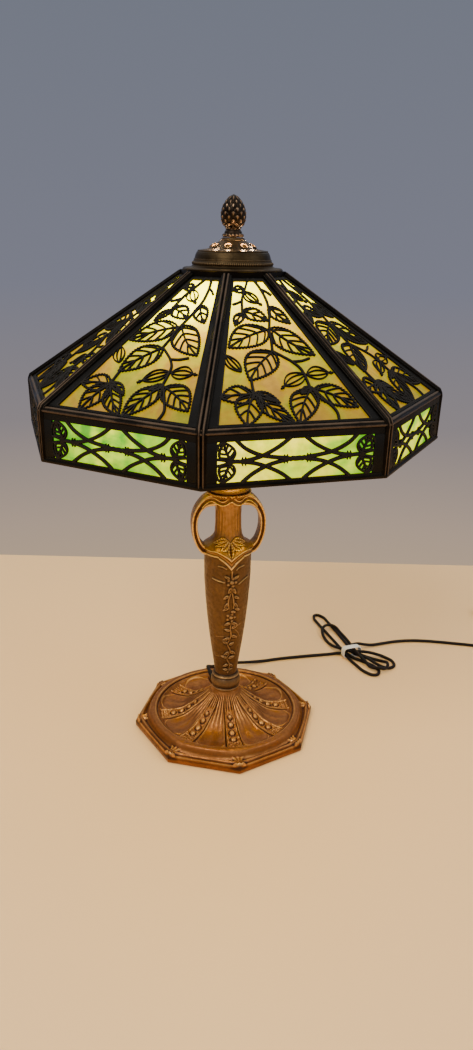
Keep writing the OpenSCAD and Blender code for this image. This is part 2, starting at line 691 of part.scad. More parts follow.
// Cord
module cord_lead() { color("#2a1c14") tube(spline(lead_points, 2), cord_d / 2, 8); }
module cord_tail() {
    color("#2a1c14") {
        tube(spline(tail_points, 2), cord_d / 2, 8);
        tube(spline(end_points, 2), cord_d / 2, 8);
    }
}
module at_hank() {
    translate(hank_pos) rotate([0, 0, hank_turn]) children();
}
module cord_hank() {
    color("#2a1c14") at_hank() difference() {
        linear_extrude(hank_h) polygon(hank_outline);
        translate([-tie_size.x, -tie_size.y / 2 - 0.2, -1])
            cube([2 * tie_size.x, tie_size.y + 0.4, 1 + tie_t + 0.1]);
    }
}
module cord_tie() {
    color("#e8e4dc") at_hank() difference() {
        translate([-tie_size.x / 2, -tie_size.y / 2, 0]) cube(tie_size);
        translate([-tie_size.x / 2 + tie_t, -tie_size.y, tie_t])
            cube([tie_size.x - 2 * tie_t, 2 * tie_size.y, tie_size.z - 2 * tie_t]);
    }
}
module cord_coil() {
    color("#2a1c14") translate(coil_pos) rotate_extrude()
        translate([coil_r - coil_w / 2, 0]) square([coil_w, coil_h]);
}
module at_plug() {
    translate(plug_pos) rotate([0, 0, plug_turn]) children();
}
module plug_body() {
    color("#2a1c14") at_plug() translate([-plug_size.x / 2, 0, 0]) cube(plug_size);
}
module plug_blades() {
    color("#c8b878") at_plug() for (side = [-1, 1])
        translate([side * blade_gap / 2 - blade_size.x / 2, plug_size.y, (plug_size.z - blade_size.z) / 2])
            cube(blade_size);
}

foot();
felt_pad();
rod_washer();
rod_nuts();
cord_grommet();
collar();
column_body();
handled_capital();
check_ring();
threaded_rod();
cluster_body();
wiring();
socket_caps();
socket_shells();
socket_blocks();
socket_threads();
switch_knob_1();
switch_knob_2();
bulb_glass_1();
bulb_glass_2();
bulb_base_1();
bulb_base_2();
bulb_contact_1();
bulb_contact_2();
shade_holder();
seat_washer();
crown_ring();
corner_strips();
eave_ring();
bottom_rim();
glass_clips();
skirt_frames();
skirt_glass();
slope_frame_1();
slope_frame_2();
slope_frame_3();
slope_frame_4();
slope_frame_5();
slope_frame_6();
slope_frame_7();
slope_frame_8();
slope_glass_1();
slope_glass_2();
slope_glass_3();
slope_glass_4();
slope_glass_5();
slope_glass_6();
slope_glass_7();
slope_glass_8();
finial_stud();
shade_cap();
finial_insert();
finial();
cord_lead();
cord_hank();
cord_tie();
cord_tail();
cord_coil();
plug_body();
plug_blades();
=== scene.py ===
"""Looks of the stained glass table lamp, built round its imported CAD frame.

Shapes are in millimetres. The camera, the lights, the floor and the materials are in metres.
"""

import math

import bpy
import numpy as np
from mathutils import Matrix, Vector


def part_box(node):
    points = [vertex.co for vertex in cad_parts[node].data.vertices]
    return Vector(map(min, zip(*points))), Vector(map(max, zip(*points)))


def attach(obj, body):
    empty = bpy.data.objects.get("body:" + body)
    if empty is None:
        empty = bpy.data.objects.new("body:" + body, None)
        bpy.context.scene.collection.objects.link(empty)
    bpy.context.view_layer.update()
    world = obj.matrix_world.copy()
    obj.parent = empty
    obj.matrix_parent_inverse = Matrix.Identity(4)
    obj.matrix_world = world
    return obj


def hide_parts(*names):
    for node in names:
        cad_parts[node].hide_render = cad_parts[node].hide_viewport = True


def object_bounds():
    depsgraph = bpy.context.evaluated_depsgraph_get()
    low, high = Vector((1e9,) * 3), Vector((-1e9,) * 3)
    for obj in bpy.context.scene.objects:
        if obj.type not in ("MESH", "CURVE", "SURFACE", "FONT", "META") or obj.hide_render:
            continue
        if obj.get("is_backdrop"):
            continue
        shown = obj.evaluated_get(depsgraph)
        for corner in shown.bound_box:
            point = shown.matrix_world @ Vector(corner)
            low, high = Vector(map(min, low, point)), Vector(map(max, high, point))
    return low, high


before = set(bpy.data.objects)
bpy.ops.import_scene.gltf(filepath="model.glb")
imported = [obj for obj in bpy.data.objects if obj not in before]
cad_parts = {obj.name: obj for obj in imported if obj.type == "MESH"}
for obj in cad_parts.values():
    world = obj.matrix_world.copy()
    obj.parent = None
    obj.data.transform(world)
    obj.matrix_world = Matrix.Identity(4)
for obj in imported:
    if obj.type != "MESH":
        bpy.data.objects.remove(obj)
cad_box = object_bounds()

MM = 0.001
SIDES = 8
STEP = 2 * math.pi / SIDES
HALF = STEP / 2
FRONT = -math.pi / 2


# ---------------------------------------------------------------- camera

# Place, direction, roll and lens come from a fit to the corners of the shade and of the foot
CAMERA_AT = Vector((-0.1283, -0.7842, 0.5401))
CAMERA_LOOK = Vector((0.16179, 0.92339, -0.34809))
CAMERA_ROLL = math.radians(1.204)
CAMERA_LENS = 26.95


def make_camera():
    data = bpy.data.cameras.new("camera")
    data.sensor_width = 36
    data.lens = CAMERA_LENS
    data.clip_start = 0.02
    data.clip_end = 50
    cam = bpy.data.objects.new("camera", data)
    look = CAMERA_LOOK.normalized()
    right = look.cross(Vector((0, 0, 1))).normalized()
    up = right.cross(look)
    x_axis = right * math.cos(CAMERA_ROLL) + up * math.sin(CAMERA_ROLL)
    y_axis = up * math.cos(CAMERA_ROLL) - right * math.sin(CAMERA_ROLL)
    turn = Matrix((x_axis, y_axis, -look)).transposed()
    cam.matrix_world = Matrix.Translation(CAMERA_AT) @ turn.to_4x4()
    bpy.context.collection.objects.link(cam)
    bpy.context.scene.camera = cam


make_camera()


# ---------------------------------------------------------------- geometry helpers

def unit(v):
    return v / np.maximum(np.linalg.norm(v, axis=-1, keepdims=True), 1e-9)


def smooth_path(points, n):
    """Catmull-Rom points through a list, n to a stretch."""
    p = np.asarray(points, float)
    padded = np.vstack([p[0], p, p[-1]])
    out = []
    for i in range(len(p) - 1):
        a, b, c, d = padded[i:i + 4]
        for t in np.arange(n) / n:
            out.append(0.5 * (2 * b + (c - a) * t + (2 * a - 5 * b + 4 * c - d) * t ** 2
                              + (3 * b - a - 3 * c + d) * t ** 3))
    out.append(p[-1])
    return np.array(out)


def height_of(points, n=8):
    """The second column of a smooth profile as a function of the first, which rises or falls all along."""
    p = smooth_path(points, n)
    if p[0, 0] > p[-1, 0]:
        p = p[::-1]
    return lambda x: np.interp(x, p[:, 0], p[:, 1])


def rise(x, low, high):
    """0 below low, 1 above high, smooth between; falls instead where low is over high."""
    t = np.clip((x - low) / (high - low), 0, 1)
    return t * t * (3 - 2 * t)


def window(x, low, high, soft):
    return rise(x, low, low + soft) * rise(x, high, high - soft)


def bell(x, width):
    return np.exp(-(x / width) ** 2)


def ripple(a, b, size, seed):
    """A smooth uneven surface from crossed waves, about -1 to 1, with lumps near size across."""
    rng = np.random.default_rng(seed)
    total = 0
    for _ in range(7):
        turn, phase = rng.uniform(0, 2 * math.pi, 2)
        k = 2 * math.pi / (size * rng.uniform(0.7, 1.6))
        total = total + np.sin(k * (a * math.cos(turn) + b * math.sin(turn)) + phase)
    return total / 3.5


def new_piece(name, verts, faces, wear_sheen_tone, crease):
    """A mesh piece from millimetre vertices, with its rubbing and painted light kept on the mesh. crease is
    in degrees.
    """
    mesh = bpy.data.meshes.new(name)
    mesh.from_pydata((verts * MM).tolist(), [], faces)
    mesh.polygons.foreach_set("use_smooth", [True] * len(mesh.polygons))
    mesh.set_sharp_from_angle(angle=math.radians(crease))
    layer = mesh.attributes.new("wear_sheen_tone", "FLOAT", "POINT")
    layer.data.foreach_set("value", np.asarray(wear_sheen_tone, np.float32))
    mesh.update()
    piece = bpy.data.objects.new(name, mesh)
    bpy.context.collection.objects.link(piece)
    return piece


def grid_faces(rows, cols, wrap_rows, wrap_cols):
    faces = []
    for i in range(rows if wrap_rows else rows - 1):
        a, b = i * cols, (i + 1) % rows * cols
        for j in range(cols if wrap_cols else cols - 1):
            k = (j + 1) % cols
            faces.append((a + j, a + k, b + k, b + j))
    return faces


class Sketch:
    """Gathers one piece: vertices in millimetres, faces and a value from 0 in a recess to 1 on a raised
    edge.
    On metal the low end is patina and painted shade, the high end rubbing and painted highlights;
    glass keeps its tone in the same value.
    """

    def __init__(self):
        self.verts, self.faces, self.wear_sheen_tone = [], [], []

    def add(self, verts, faces, wear_sheen_tone):
        start = len(self.verts)
        self.verts.extend(np.asarray(verts, float).tolist())
        self.wear_sheen_tone.extend(np.broadcast_to(np.asarray(wear_sheen_tone, float), (len(verts),)).tolist())
        self.faces.extend(tuple(start + i for i in f) for f in faces)

    def grid(self, points, wear_sheen_tone=0.0, wrap_rows=False, wrap_cols=False, caps=False):
        points = np.asarray(points, float)
        rows, cols = points.shape[:2]
        faces = grid_faces(rows, cols, wrap_rows, wrap_cols)
        if caps:
            faces.append(tuple(reversed(range(cols))))
            faces.append(tuple(range((rows - 1) * cols, rows * cols)))
        wear_sheen_tone = np.broadcast_to(np.asarray(wear_sheen_tone, float), (rows, cols)).ravel()
        self.add(points.reshape(-1, 3), faces, wear_sheen_tone)

    def sweep(self, path, sides, ups, section, wear_sheen_tone):
        """Sweeps a section (pairs across, up) along a path with given side and up vectors."""
        section = np.asarray(section, float)
        points = (path[:, None, :] + sides[:, None, :] * section[None, :, :1]
                  + ups[:, None, :] * section[None, :, 1:])
        self.grid(points, wear_sheen_tone, wrap_cols=True, caps=True)

    def piece(self, name, crease, place=None):
        verts = np.array(self.verts)
        if place is not None:
            verts = verts @ place[:3, :3].T + place[:3, 3]
        return new_piece(name, verts, self.faces, self.wear_sheen_tone, crease)


def turned(angle):
    """A turn about the lamp's axis."""
    c, s = math.cos(angle), math.sin(angle)
    m = np.eye(4)
    m[:2, :2] = [[c, -s], [s, c]]
    return m


def tilted(angle):
    """A tilt about the x axis, which lifts the +y side."""
    c, s = math.cos(angle), math.sin(angle)
    m = np.eye(4)
    m[1:3, 1:3] = [[c, -s], [s, c]]
    return m


def moved(x, y, z):
    m = np.eye(4)
    m[:3, 3] = x, y, z
    return m


def finish_piece(piece, body, slot, material, *nodes):
    piece.data.materials.clear()
    piece.data.materials.append(material)
    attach(piece, body)
    if nodes:
        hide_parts(*nodes)
    return piece


# ---------------------------------------------------------------- materials

class Nodes:
    """Short calls for making one material's nodes."""

    def __init__(self, name):
        self.material = bpy.data.materials.new(name)
        self.material.use_nodes = True
        self.tree = self.material.node_tree
        self.shader = self.tree.nodes["Principled BSDF"]

    def link(self, value, socket):
        if isinstance(value, bpy.types.NodeSocket):
            self.tree.links.new(value, socket)
        elif isinstance(value, tuple) and len(value) == 3 and socket.type == "RGBA":
            socket.default_value = (*value, 1)
        else:
            socket.default_value = value

    def set(self, **values):
        for name, value in values.items():
            self.link(value, self.shader.inputs[name.replace("_", " ")])

    def object_place(self, stretch=(1, 1, 1)):
        coord = self.tree.nodes.new("ShaderNodeTexCoord").outputs["Object"]
        if stretch == (1, 1, 1):
            return coord
        mapping = self.tree.nodes.new("ShaderNodeMapping")
        mapping.inputs["Scale"].default_value = stretch
        self.tree.links.new(coord, mapping.inputs["Vector"])
        return mapping.outputs["Vector"]

    def noise(self, scale, detail=4, rough=0.5, warp=0, place=None):
        n = self.tree.nodes.new("ShaderNodeTexNoise")
        self.tree.links.new(place or self.object_place(), n.inputs["Vector"])
        n.inputs["Scale"].default_value = scale
        n.inputs["Detail"].default_value = detail
        n.inputs["Roughness"].default_value = rough
        n.inputs["Distortion"].default_value = warp
        return n.outputs["Fac"]

    def math(self, kind, a, b=0.0, clamp=False):
        n = self.tree.nodes.new("ShaderNodeMath")
        n.operation = kind
        n.use_clamp = clamp
        self.link(a, n.inputs[0])
        self.link(b, n.inputs[1])
        return n.outputs[0]

    def span(self, value, low, high, to_low=0.0, to_high=1.0):
        n = self.tree.nodes.new("ShaderNodeMapRange")
        n.interpolation_type = "SMOOTHSTEP"
        self.link(value, n.inputs["Value"])
        limits = {"From Min": low, "From Max": high, "To Min": to_low, "To Max": to_high}
        for socket, limit in limits.items():
            n.inputs[socket].default_value = limit
        return n.outputs["Result"]

    def ramp(self, value, stops):
        n = self.tree.nodes.new("ShaderNodeValToRGB")
        set_stops(n, stops)
        self.link(value, n.inputs["Fac"])
        return n.outputs["Color"]

    def mix(self, amount, a, b):
        n = self.tree.nodes.new("ShaderNodeMix")
        n.data_type = "RGBA"
        self.link(amount, n.inputs["Factor"])
        self.link(a, n.inputs["A"])
        self.link(b, n.inputs["B"])
        return n.outputs["Result"]

    # The value kept on the mesh: on metal it runs from patina and painted shade to rubbing and painted
    # highlights; on glass it is the tone
    def wear_sheen_tone(self):
        n = self.tree.nodes.new("ShaderNodeAttribute")
        n.attribute_name = "wear_sheen_tone"
        return n.outputs["Fac"]

    def bump(self, height, distance, strength):
        n = self.tree.nodes.new("ShaderNodeBump")
        n.inputs["Distance"].default_value = distance
        n.inputs["Strength"].default_value = strength
        self.link(height, n.inputs["Height"])
        self.link(n.outputs["Normal"], self.shader.inputs["Normal"])


def set_stops(ramp, stops):
    elements = ramp.color_ramp.elements
    while len(elements) < len(stops):
        elements.new(0.5)
    for element, (place, colour) in zip(elements, stops):
        element.position = place
        element.color = (*colour, 1)


def gilded_metal(name, recess, body, rubbed_and_highlit, rough, wear_and_highlight=None):
    """Cast metal under a thin gilding: dark in the recesses, as patina and painted shade, and bright on
    raised parts, from hands' rubbing and as painted highlights. Its last argument, when given, stands in
    for the value kept on the mesh."""
    n = Nodes(name)
    blotch = n.noise(38, 5, 0.6)
    fine = n.noise(260, 4, 0.6)
    if wear_and_highlight is None:
        wear_and_highlight = n.wear_sheen_tone()
    wear_and_highlight = n.math("ADD", wear_and_highlight, n.math("MULTIPLY", n.math("SUBTRACT", blotch, 0.5), 0.45), clamp=True)
    # From the recess colour, patina and painted shade, through the body to the bright colour of rubbing and
    # painted highlight
    dark_to_body = n.mix(n.span(wear_and_highlight, 0.12, 0.5), recess, body)
    colour = n.mix(n.span(wear_and_highlight, 0.5, 0.95), dark_to_body, rubbed_and_highlit)
    colour = n.mix(n.span(fine, 0.35, 0.75, 0.0, 0.28), colour, recess)
    n.set(Base_Color=colour, Metallic=0.75, Roughness=n.span(fine, 0.3, 0.7, rough - 0.08, rough + 0.14))
    n.bump(n.math("ADD", fine, n.math("MULTIPLY", blotch, 0.8)), 0.0006, 0.55)
    return n.material


def patina_metal(name, dark, mid, edge, rough, metallic=0.85):
    """Bronze with a dark patina, coppery on raised edges from rubbing and as painted highlight."""
    n = Nodes(name)
    blotch = n.noise(30, 6, 0.62)
    fine = n.noise(420, 3, 0.5)
    wear_and_highlight = n.math("ADD", n.wear_sheen_tone(), n.math("MULTIPLY", n.math("SUBTRACT", blotch, 0.52), 0.8), clamp=True)
    colour = n.mix(n.span(blotch, 0.4, 0.7, 0, 0.6), dark, mid)
    # Raised edges turn coppery: rubbing with a painted highlight
    colour = n.mix(n.span(wear_and_highlight, 0.62, 1.0, 0, 0.85), colour, edge)
    n.set(Base_Color=colour, Metallic=metallic, Specular_IOR_Level=0.2,
          Roughness=n.span(blotch, 0.3, 0.7, rough - 0.08, rough + 0.17))
    n.bump(n.math("ADD", fine, blotch), 0.0004, 0.4)
    return n.material


# How many bands a metre the wave texture draws at a scale of 1
WAVE_BANDS = 3.183


def satin_metal(name, colour, tarnish, rough, lines=0.0):
    """Turned or plated metal with light tarnish. lines is the pitch in metres of a thread."""
    n = Nodes(name)
    cloud = n.noise(60, 5, 0.6)
    height = n.noise(700, 2, 0.5)
    n.set(Base_Color=n.mix(n.span(cloud, 0.35, 0.75, 0.05, 0.75), colour, tarnish), Metallic=1.0,
          Roughness=n.span(cloud, 0.3, 0.7, rough - 0.06, rough + 0.16))
    if lines:
        wave = n.tree.nodes.new("ShaderNodeTexWave")
        wave.bands_direction = "Z"
        wave.inputs["Scale"].default_value = 1 / lines / WAVE_BANDS
        wave.inputs["Distortion"].default_value = 0
        n.tree.links.new(n.object_place(), wave.inputs["Vector"])
        height = n.math("ADD", n.math("MULTIPLY", wave.outputs["Fac"], 3.0), height)
    n.bump(height, 0.0004, 0.5)
    return n.material


def soft_plastic(name, colour, scuffed, rough, grain=900, depth=0.0002, coat=0.0, shine=0.5):
    """Moulded plastic, vinyl, porcelain or fibre with paler scuffs. grain and depth set its fine bumps."""
    n = Nodes(name)
    scuff = n.noise(90, 5, 0.6)
    fine = n.noise(grain, 3, 0.5)
    n.set(Base_Color=n.mix(n.span(scuff, 0.45, 0.75, 0, 0.7), colour, scuffed),
          Roughness=n.span(scuff, 0.3, 0.7, rough - 0.06, rough + 0.12),
          Coat_Weight=coat, Coat_Roughness=0.25, Specular_IOR_Level=shine)
    n.bump(n.math("ADD", fine, n.math("MULTIPLY", scuff, 0.5)), depth, 0.5)
    return n.material


def felt(name, colour, light):
    n = Nodes(name)
    fibre = n.noise(1400, 4, 0.7)
    cloud = n.noise(120, 4, 0.6)
    n.set(Base_Color=n.mix(n.span(n.math("ADD", fibre, cloud), 0.8, 1.2), colour, light), Roughness=0.95,
          Sheen_Weight=0.35)
    n.bump(fibre, 0.0006, 0.8)
    return n.material


# The brightest point of each bulb is a little over the middle of its glass, in metres
BULB_RISE = np.array((0, 0, 0.012))
BULB_SPOTS = [tuple(np.array(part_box(f"bulb_glass_{i}")).mean(axis=0) + BULB_RISE) for i in (1, 2)]
# Its glow grows from a low height to a full one
BULB_DIM_Z, BULB_FULL_Z = 0.400, 0.450


def distance_to(n, spot):
    d = n.tree.nodes.new("ShaderNodeVectorMath")
    d.operation = "DISTANCE"
    n.tree.links.new(n.object_place(), d.inputs[0])
    d.inputs[1].default_value = spot
    return d.outputs["Value"]


def bulb_light(n, reach):
    """Light that reaches a point from both bulbs: 1 at the reach from one of them, more nearer."""
    total = None
    for spot in BULB_SPOTS:
        near = n.math("POWER", n.math("DIVIDE", reach, distance_to(n, spot)), 2.0)
        total = near if total is None else n.math("ADD", total, near)
    return total


def slag_glass(name, streaks, levels, hot, reach, flow, toned=0.0):
    """Streaky slag glass lit from inside: the bulbs' light is painted on as a glow, brightest nearest them.
    streaks is a list of ramp stops and flow stretches them. toned is how much the tone kept on the mesh
    moves the colour along the ramp. levels holds the least glow, its gain with the bulbs' light and the
    most glow."""
    n = Nodes(name)
    place = n.object_place(flow)
    broad = n.noise(17, 3, 0.5, 1.6, place)
    wisps = n.noise(55, 5, 0.6, 2.5, place)
    pebble = n.noise(150, 4, 0.6)
    mixed = n.math("ADD", n.math("MULTIPLY", broad, 0.8), n.math("MULTIPLY", wisps, 0.2))
    tone = n.span(mixed, 0.34, 0.66)
    if toned:
        kept = n.math("MULTIPLY", n.wear_sheen_tone(), toned)
        tone = n.math("ADD", kept, n.math("MULTIPLY", tone, 1 - toned), clamp=True)
    colour = n.ramp(tone, streaks)
    lit = bulb_light(n, reach)
    least, gain, most = levels
    gained = n.math("MULTIPLY", n.math("POWER", lit, 2.1), gain / most)
    level = n.math("ADD", gained, least / most, clamp=True)
    strength = n.math("MULTIPLY", level, n.span(pebble, 0.3, 0.7, 0.84, 1.12))
    # Painted hot spots: a yellower glow where the glass is nearest a bulb
    through = n.mix(n.span(lit, 1.15, 2.3), colour, hot)
    black = (0.0, 0.0, 0.0)
    n.set(Base_Color=n.mix(0.86, colour, black), Roughness=0.3, IOR=1.5, Specular_IOR_Level=0.25,
          Coat_Weight=0.08, Coat_Roughness=0.1, Emission_Color=n.mix(strength, black, through),
          Emission_Strength=most)
    n.bump(n.math("ADD", wisps, n.math("MULTIPLY", pebble, 0.3)), 0.0009, 0.35)
    return n.material


def lit_bulb(name):
    """Frosted glass that glows, dimmer towards its neck."""
    n = Nodes(name)
    frost = n.noise(500, 3, 0.6)
    high = n.tree.nodes.new("ShaderNodeSeparateXYZ")
    n.tree.links.new(n.object_place(), high.inputs[0])
    glow = n.span(high.outputs["Z"], BULB_DIM_Z, BULB_FULL_Z, 0.35, 1.0)
    level = n.math("MULTIPLY", glow, n.span(frost, 0.2, 0.8, 0.9, 1.0))
    n.set(Base_Color=(1.0, 0.93, 0.78), Roughness=0.35, Emission_Strength=26.0,
          Emission_Color=n.mix(level, (0.2, 0.1, 0.03), (1.0, 0.76, 0.46)))
    n.bump(frost, 0.0001, 0.3)
    return n.material


foot_gold = gilded_metal(
    "foot_gold", (0.045, 0.015, 0.005), (0.25, 0.085, 0.017), (0.55, 0.25, 0.06), 0.38)
column_gold = gilded_metal(
    "column_gold", (0.022, 0.010, 0.004), (0.13, 0.066, 0.024), (0.42, 0.25, 0.10), 0.46)
capital_gold = gilded_metal(
    "capital_gold", (0.06, 0.02, 0.006), (0.36, 0.18, 0.06), (0.95, 0.60, 0.20), 0.36)
ring_gold = gilded_metal(
    "ring_gold", (0.06, 0.02, 0.006), (0.30, 0.15, 0.05), (0.8, 0.5, 0.17), 0.38, wear_and_highlight=0.5)
shade_bronze = patina_metal(
    "shade_bronze", (0.004, 0.003, 0.002), (0.012, 0.009, 0.006), (0.12, 0.08, 0.052), 0.42)
rim_bronze = patina_metal(
    "rim_bronze", (0.003, 0.0026, 0.0015), (0.006, 0.005, 0.0035), (0.02, 0.015, 0.01), 0.46)
leaf_bronze = patina_metal(
    "leaf_bronze", (0.0012, 0.0009, 0.0005), (0.003, 0.002, 0.0013), (0.012, 0.009, 0.006), 0.6,
    metallic=0.25)
cap_bronze = patina_metal(
    "cap_bronze", (0.022, 0.014, 0.006), (0.065, 0.042, 0.018), (0.24, 0.15, 0.07), 0.34)
cone_bronze = patina_metal(
    "cone_bronze", (0.012, 0.008, 0.005), (0.05, 0.034, 0.02), (0.30, 0.19, 0.11), 0.36)
brass = satin_metal("brass", (0.62, 0.42, 0.16), (0.30, 0.18, 0.07), 0.28)
threaded_brass = satin_metal("threaded_brass", (0.58, 0.40, 0.17), (0.28, 0.17, 0.07), 0.32, lines=0.00094)
nickel = satin_metal("nickel", (0.62, 0.61, 0.58), (0.36, 0.34, 0.30), 0.22)
screw_nickel = satin_metal("screw_nickel", (0.60, 0.59, 0.56), (0.34, 0.32, 0.28), 0.25, lines=0.00363)
porcelain = soft_plastic("porcelain", (0.78, 0.74, 0.66), (0.60, 0.55, 0.46), 0.22, coat=0.5)
knob_black = soft_plastic("knob_black", (0.022, 0.018, 0.015), (0.07, 0.06, 0.05), 0.42)
cord_vinyl = soft_plastic(
    "cord_vinyl", (0.005, 0.0022, 0.0016), (0.013, 0.006, 0.0045), 0.5, depth=0.0003, shine=0.22)
tie_plastic = soft_plastic("tie_plastic", (0.80, 0.77, 0.72), (0.62, 0.58, 0.53), 0.5)
fibre = soft_plastic("fibre", (0.20, 0.11, 0.055), (0.11, 0.06, 0.03), 0.8, grain=1200, depth=0.0005)
felt_green = felt("felt", (0.030, 0.034, 0.026), (0.09, 0.10, 0.08))
bulb_glow = lit_bulb("bulb_glow")
amber_slag = slag_glass(
    "amber_slag",
    [(0.0, (0.64, 0.60, 0.0)), (0.22, (0.88, 0.70, 0.0)), (0.5, (1.0, 0.68, 0.0)),
     (0.78, (1.0, 0.58, 0.0)), (1.0, (0.95, 0.50, 0.04))],
    levels=(0.2, 1.4, 9.0), hot=(1.0, 0.86, 0.0), reach=0.078, flow=(1.0, 1.0, 0.55))
green_slag = slag_glass(
    "green_slag",
    [(0.0, (0.02, 0.13, 0.012)), (0.28, (0.07, 0.26, 0.005)), (0.48, (0.30, 0.46, 0.0)),
     (0.72, (0.66, 0.60, 0.0)), (1.0, (1.0, 0.80, 0.06))],
    levels=(1.3, 2.2, 4.5), hot=(1.0, 0.95, 0.05), reach=0.13, flow=(0.6, 0.6, 1.6), toned=0.75)


# ---------------------------------------------------------------- cord, tie and plug

CORD_D = 4.2
# Height of the middle of a cord that lies on the table
FLOOR = CORD_D / 2
# The cord leaves the foot through a gland: its place, its length and the way that it points
GLAND_R, GLAND_Z, GLAND_LEN = 24, 33.6, 20
GLAND_TURN = math.radians(-17)
GLAND_TILT = math.radians(20)
GLAND_SIDE = np.array((math.sin(GLAND_TURN), math.cos(GLAND_TURN), 0))
GLAND_WAY = math.cos(GLAND_TILT) * GLAND_SIDE + (0, 0, math.sin(GLAND_TILT))
GLAND_TIP = GLAND_R * GLAND_SIDE + (0, 0, GLAND_Z) + GLAND_LEN * GLAND_WAY
LEAD = [
    (-14, 50, 41), (-12, 60, 36.5), (-7, 71, 29.5), (-1, 81, 23.5), (7, 90, 20.5), (20, 102, 14.5),
    (36, 111, 8.5), (54, 118, 4), (72, 122, FLOOR), (92, 124.5, FLOOR), (114, 126, FLOOR),
    (134, 127, FLOOR), (152, 127.5, FLOOR), (168, 128, FLOOR)]
TAIL = [
    (204, 139, 8.8), (210, 141.5, 7.5), (219, 142.5, 5), (230, 143.5, 3), (246, 147, FLOOR),
    (266, 150, FLOOR), (288, 150, FLOOR), (310, 146, FLOOR), (330, 140, FLOOR), (352, 132.5, FLOOR),
    (373, 125, FLOOR), (394, 117.5, FLOOR)]
END = [
    (445.7, 139.5, 6.3), (444.8, 147, 6.2), (442, 156, 5.8), (438, 167, 5.2), (435.2, 177, 5.6),
    (434, 186, 6.5)]
HANK_AT = (193, 121)
HANK_TURN = math.radians(10)
COIL_AT = (420, 133)
COIL_R = 25.1
COIL_START = math.radians(-100)
COIL_STEPS = 14
COIL_POINTS = 47
PLUG_AT = (434, 186)
PLUG_Z = 6.5
PLUG_TURN = math.radians(5)

# The hank in its own frame, with the tie at the origin: through the tie, round each fold in turn and back
HANK = [
    (-16, 10.4, 2.4), (-10.8, 7, 3), (-8, 0.5, 3.4), (-7, -10, FLOOR), (-5.5, -28, FLOOR),
    (-2.5, -45, FLOOR), (6.5, -56, FLOOR), (15.5, -50, FLOOR), (15.5, -36, FLOOR), (7, -19, FLOOR),
    (-1, -8, 3), (-3.8, 1, 3.4), (-4.6, 16, FLOOR), (-4.4, 44, FLOOR), (-4, 74, FLOOR),
    (-3.4, 100, FLOOR), (-1.6, 117, FLOOR), (5, 124.6, FLOOR), (11.4, 117, FLOOR), (12.2, 98, FLOOR),
    (11, 70, FLOOR), (9.6, 44, FLOOR), (7.4, 20, FLOOR), (4.8, 2, 3.4), (7, -8, 5.4), (13, -20, 6.6),
    (20, -33, 4), (29, -44, FLOOR), (39, -45, FLOOR), (45.6, -34, FLOOR), (42, -20, FLOOR),
    (31, -11.5, 5), (17, -6.5, 8), (6, -3, 8.6), (-2, 3, 7.6), (-8.5, 15, 6), (-13.2, 32, 2.6),
    (-14, 52, FLOOR), (-10.6, 69, 4.4), (-4, 79, 6.4), (4.5, 82, 6.6), (12, 77, 6), (15, 64, 2.6),
    (15, 44, FLOOR), (12.8, 22, FLOOR), (9.4, 2, 3.4), (14.5, -8.5, 3.4), (24, -18, FLOOR),
    (32.5, -29, 3), (33, -41, 6.4), (25, -49.5, 5), (16, -48, 6.4), (10, -38, 3.2), (8, -25, 5.6),
    (4.6, -12, 9.4), (2.6, -2, 12.2), (4.6, 8, 12)]


def hank_to_world(x, y, z):
    c, s = math.cos(HANK_TURN), math.sin(HANK_TURN)
    return HANK_AT[0] + c * x - s * y, HANK_AT[1] + s * x + c * y, z


def coil_turns():
    """Two flat turns, the outer one first, then one and a quarter on top of them from the inside out."""
    points = []
    for i in range(COIL_POINTS):
        turn = i / COIL_STEPS
        inward = float(rise(turn, 0.75, 1.0) - rise(turn, 2.45, 2.75))
        r = COIL_R - CORD_D * inward
        angle = COIL_START + turn * 2 * math.pi
        z = FLOOR + CORD_D * float(rise(turn, 1.5, 1.75))
        points.append((COIL_AT[0] + r * math.cos(angle), COIL_AT[1] + r * math.sin(angle), z))
    return points


def cord_route():
    return [tuple(GLAND_TIP)] + LEAD + [hank_to_world(*p) for p in HANK] + TAIL + coil_turns() + END


def make_cord():
    route = cord_route()
    curve = bpy.data.curves.new("cord", "CURVE")
    curve.dimensions = "3D"
    curve.bevel_depth = CORD_D / 2 * MM
    curve.bevel_resolution = 3
    curve.use_fill_caps = True
    curve.resolution_u = 5
    spline = curve.splines.new("BEZIER")
    spline.bezier_points.add(len(route) - 1)
    for point, at in zip(spline.bezier_points, route):
        point.co = Vector(at) * MM
        point.handle_left_type = point.handle_right_type = "AUTO"
    cord = bpy.data.objects.new("cord", curve)
    bpy.context.collection.objects.link(cord)
    return finish_piece(
        cord, "root", "cord_brown", cord_vinyl, "cord_lead", "cord_hank", "cord_tail", "cord_coil")


def rounded_ring(half_x, half_y, corner, n=5):
    """Points round a rectangle with round corners."""
    out = []
    for cx, cy, start in ((1, 1, 0), (-1, 1, 90), (-1, -1, 180), (1, -1, 270)):
        for i in range(n + 1):
            t = math.radians(start + 90 * i / n)
            out.append((cx * (half_x - corner) + corner * math.cos(t),
                        cy * (half_y - corner) + corner * math.sin(t)))
    return np.array(out)


TIE_HALF_X, TIE_HALF_Z, TIE_CORNER = 13.4, 7.9, 5.5
TIE_Z = 8.2
# The strap's section: the place across it and how far inside the outer face, in order round its edge
TIE_SECTION = [
    (-4.2, 1.1), (-3.9, 0.2), (-2.4, 0.0), (0, 0.25), (2.4, 0.0), (3.9, 0.2), (4.2, 1.1), (3.0, 1.3),
    (0, 1.4), (-3.0, 1.3)]


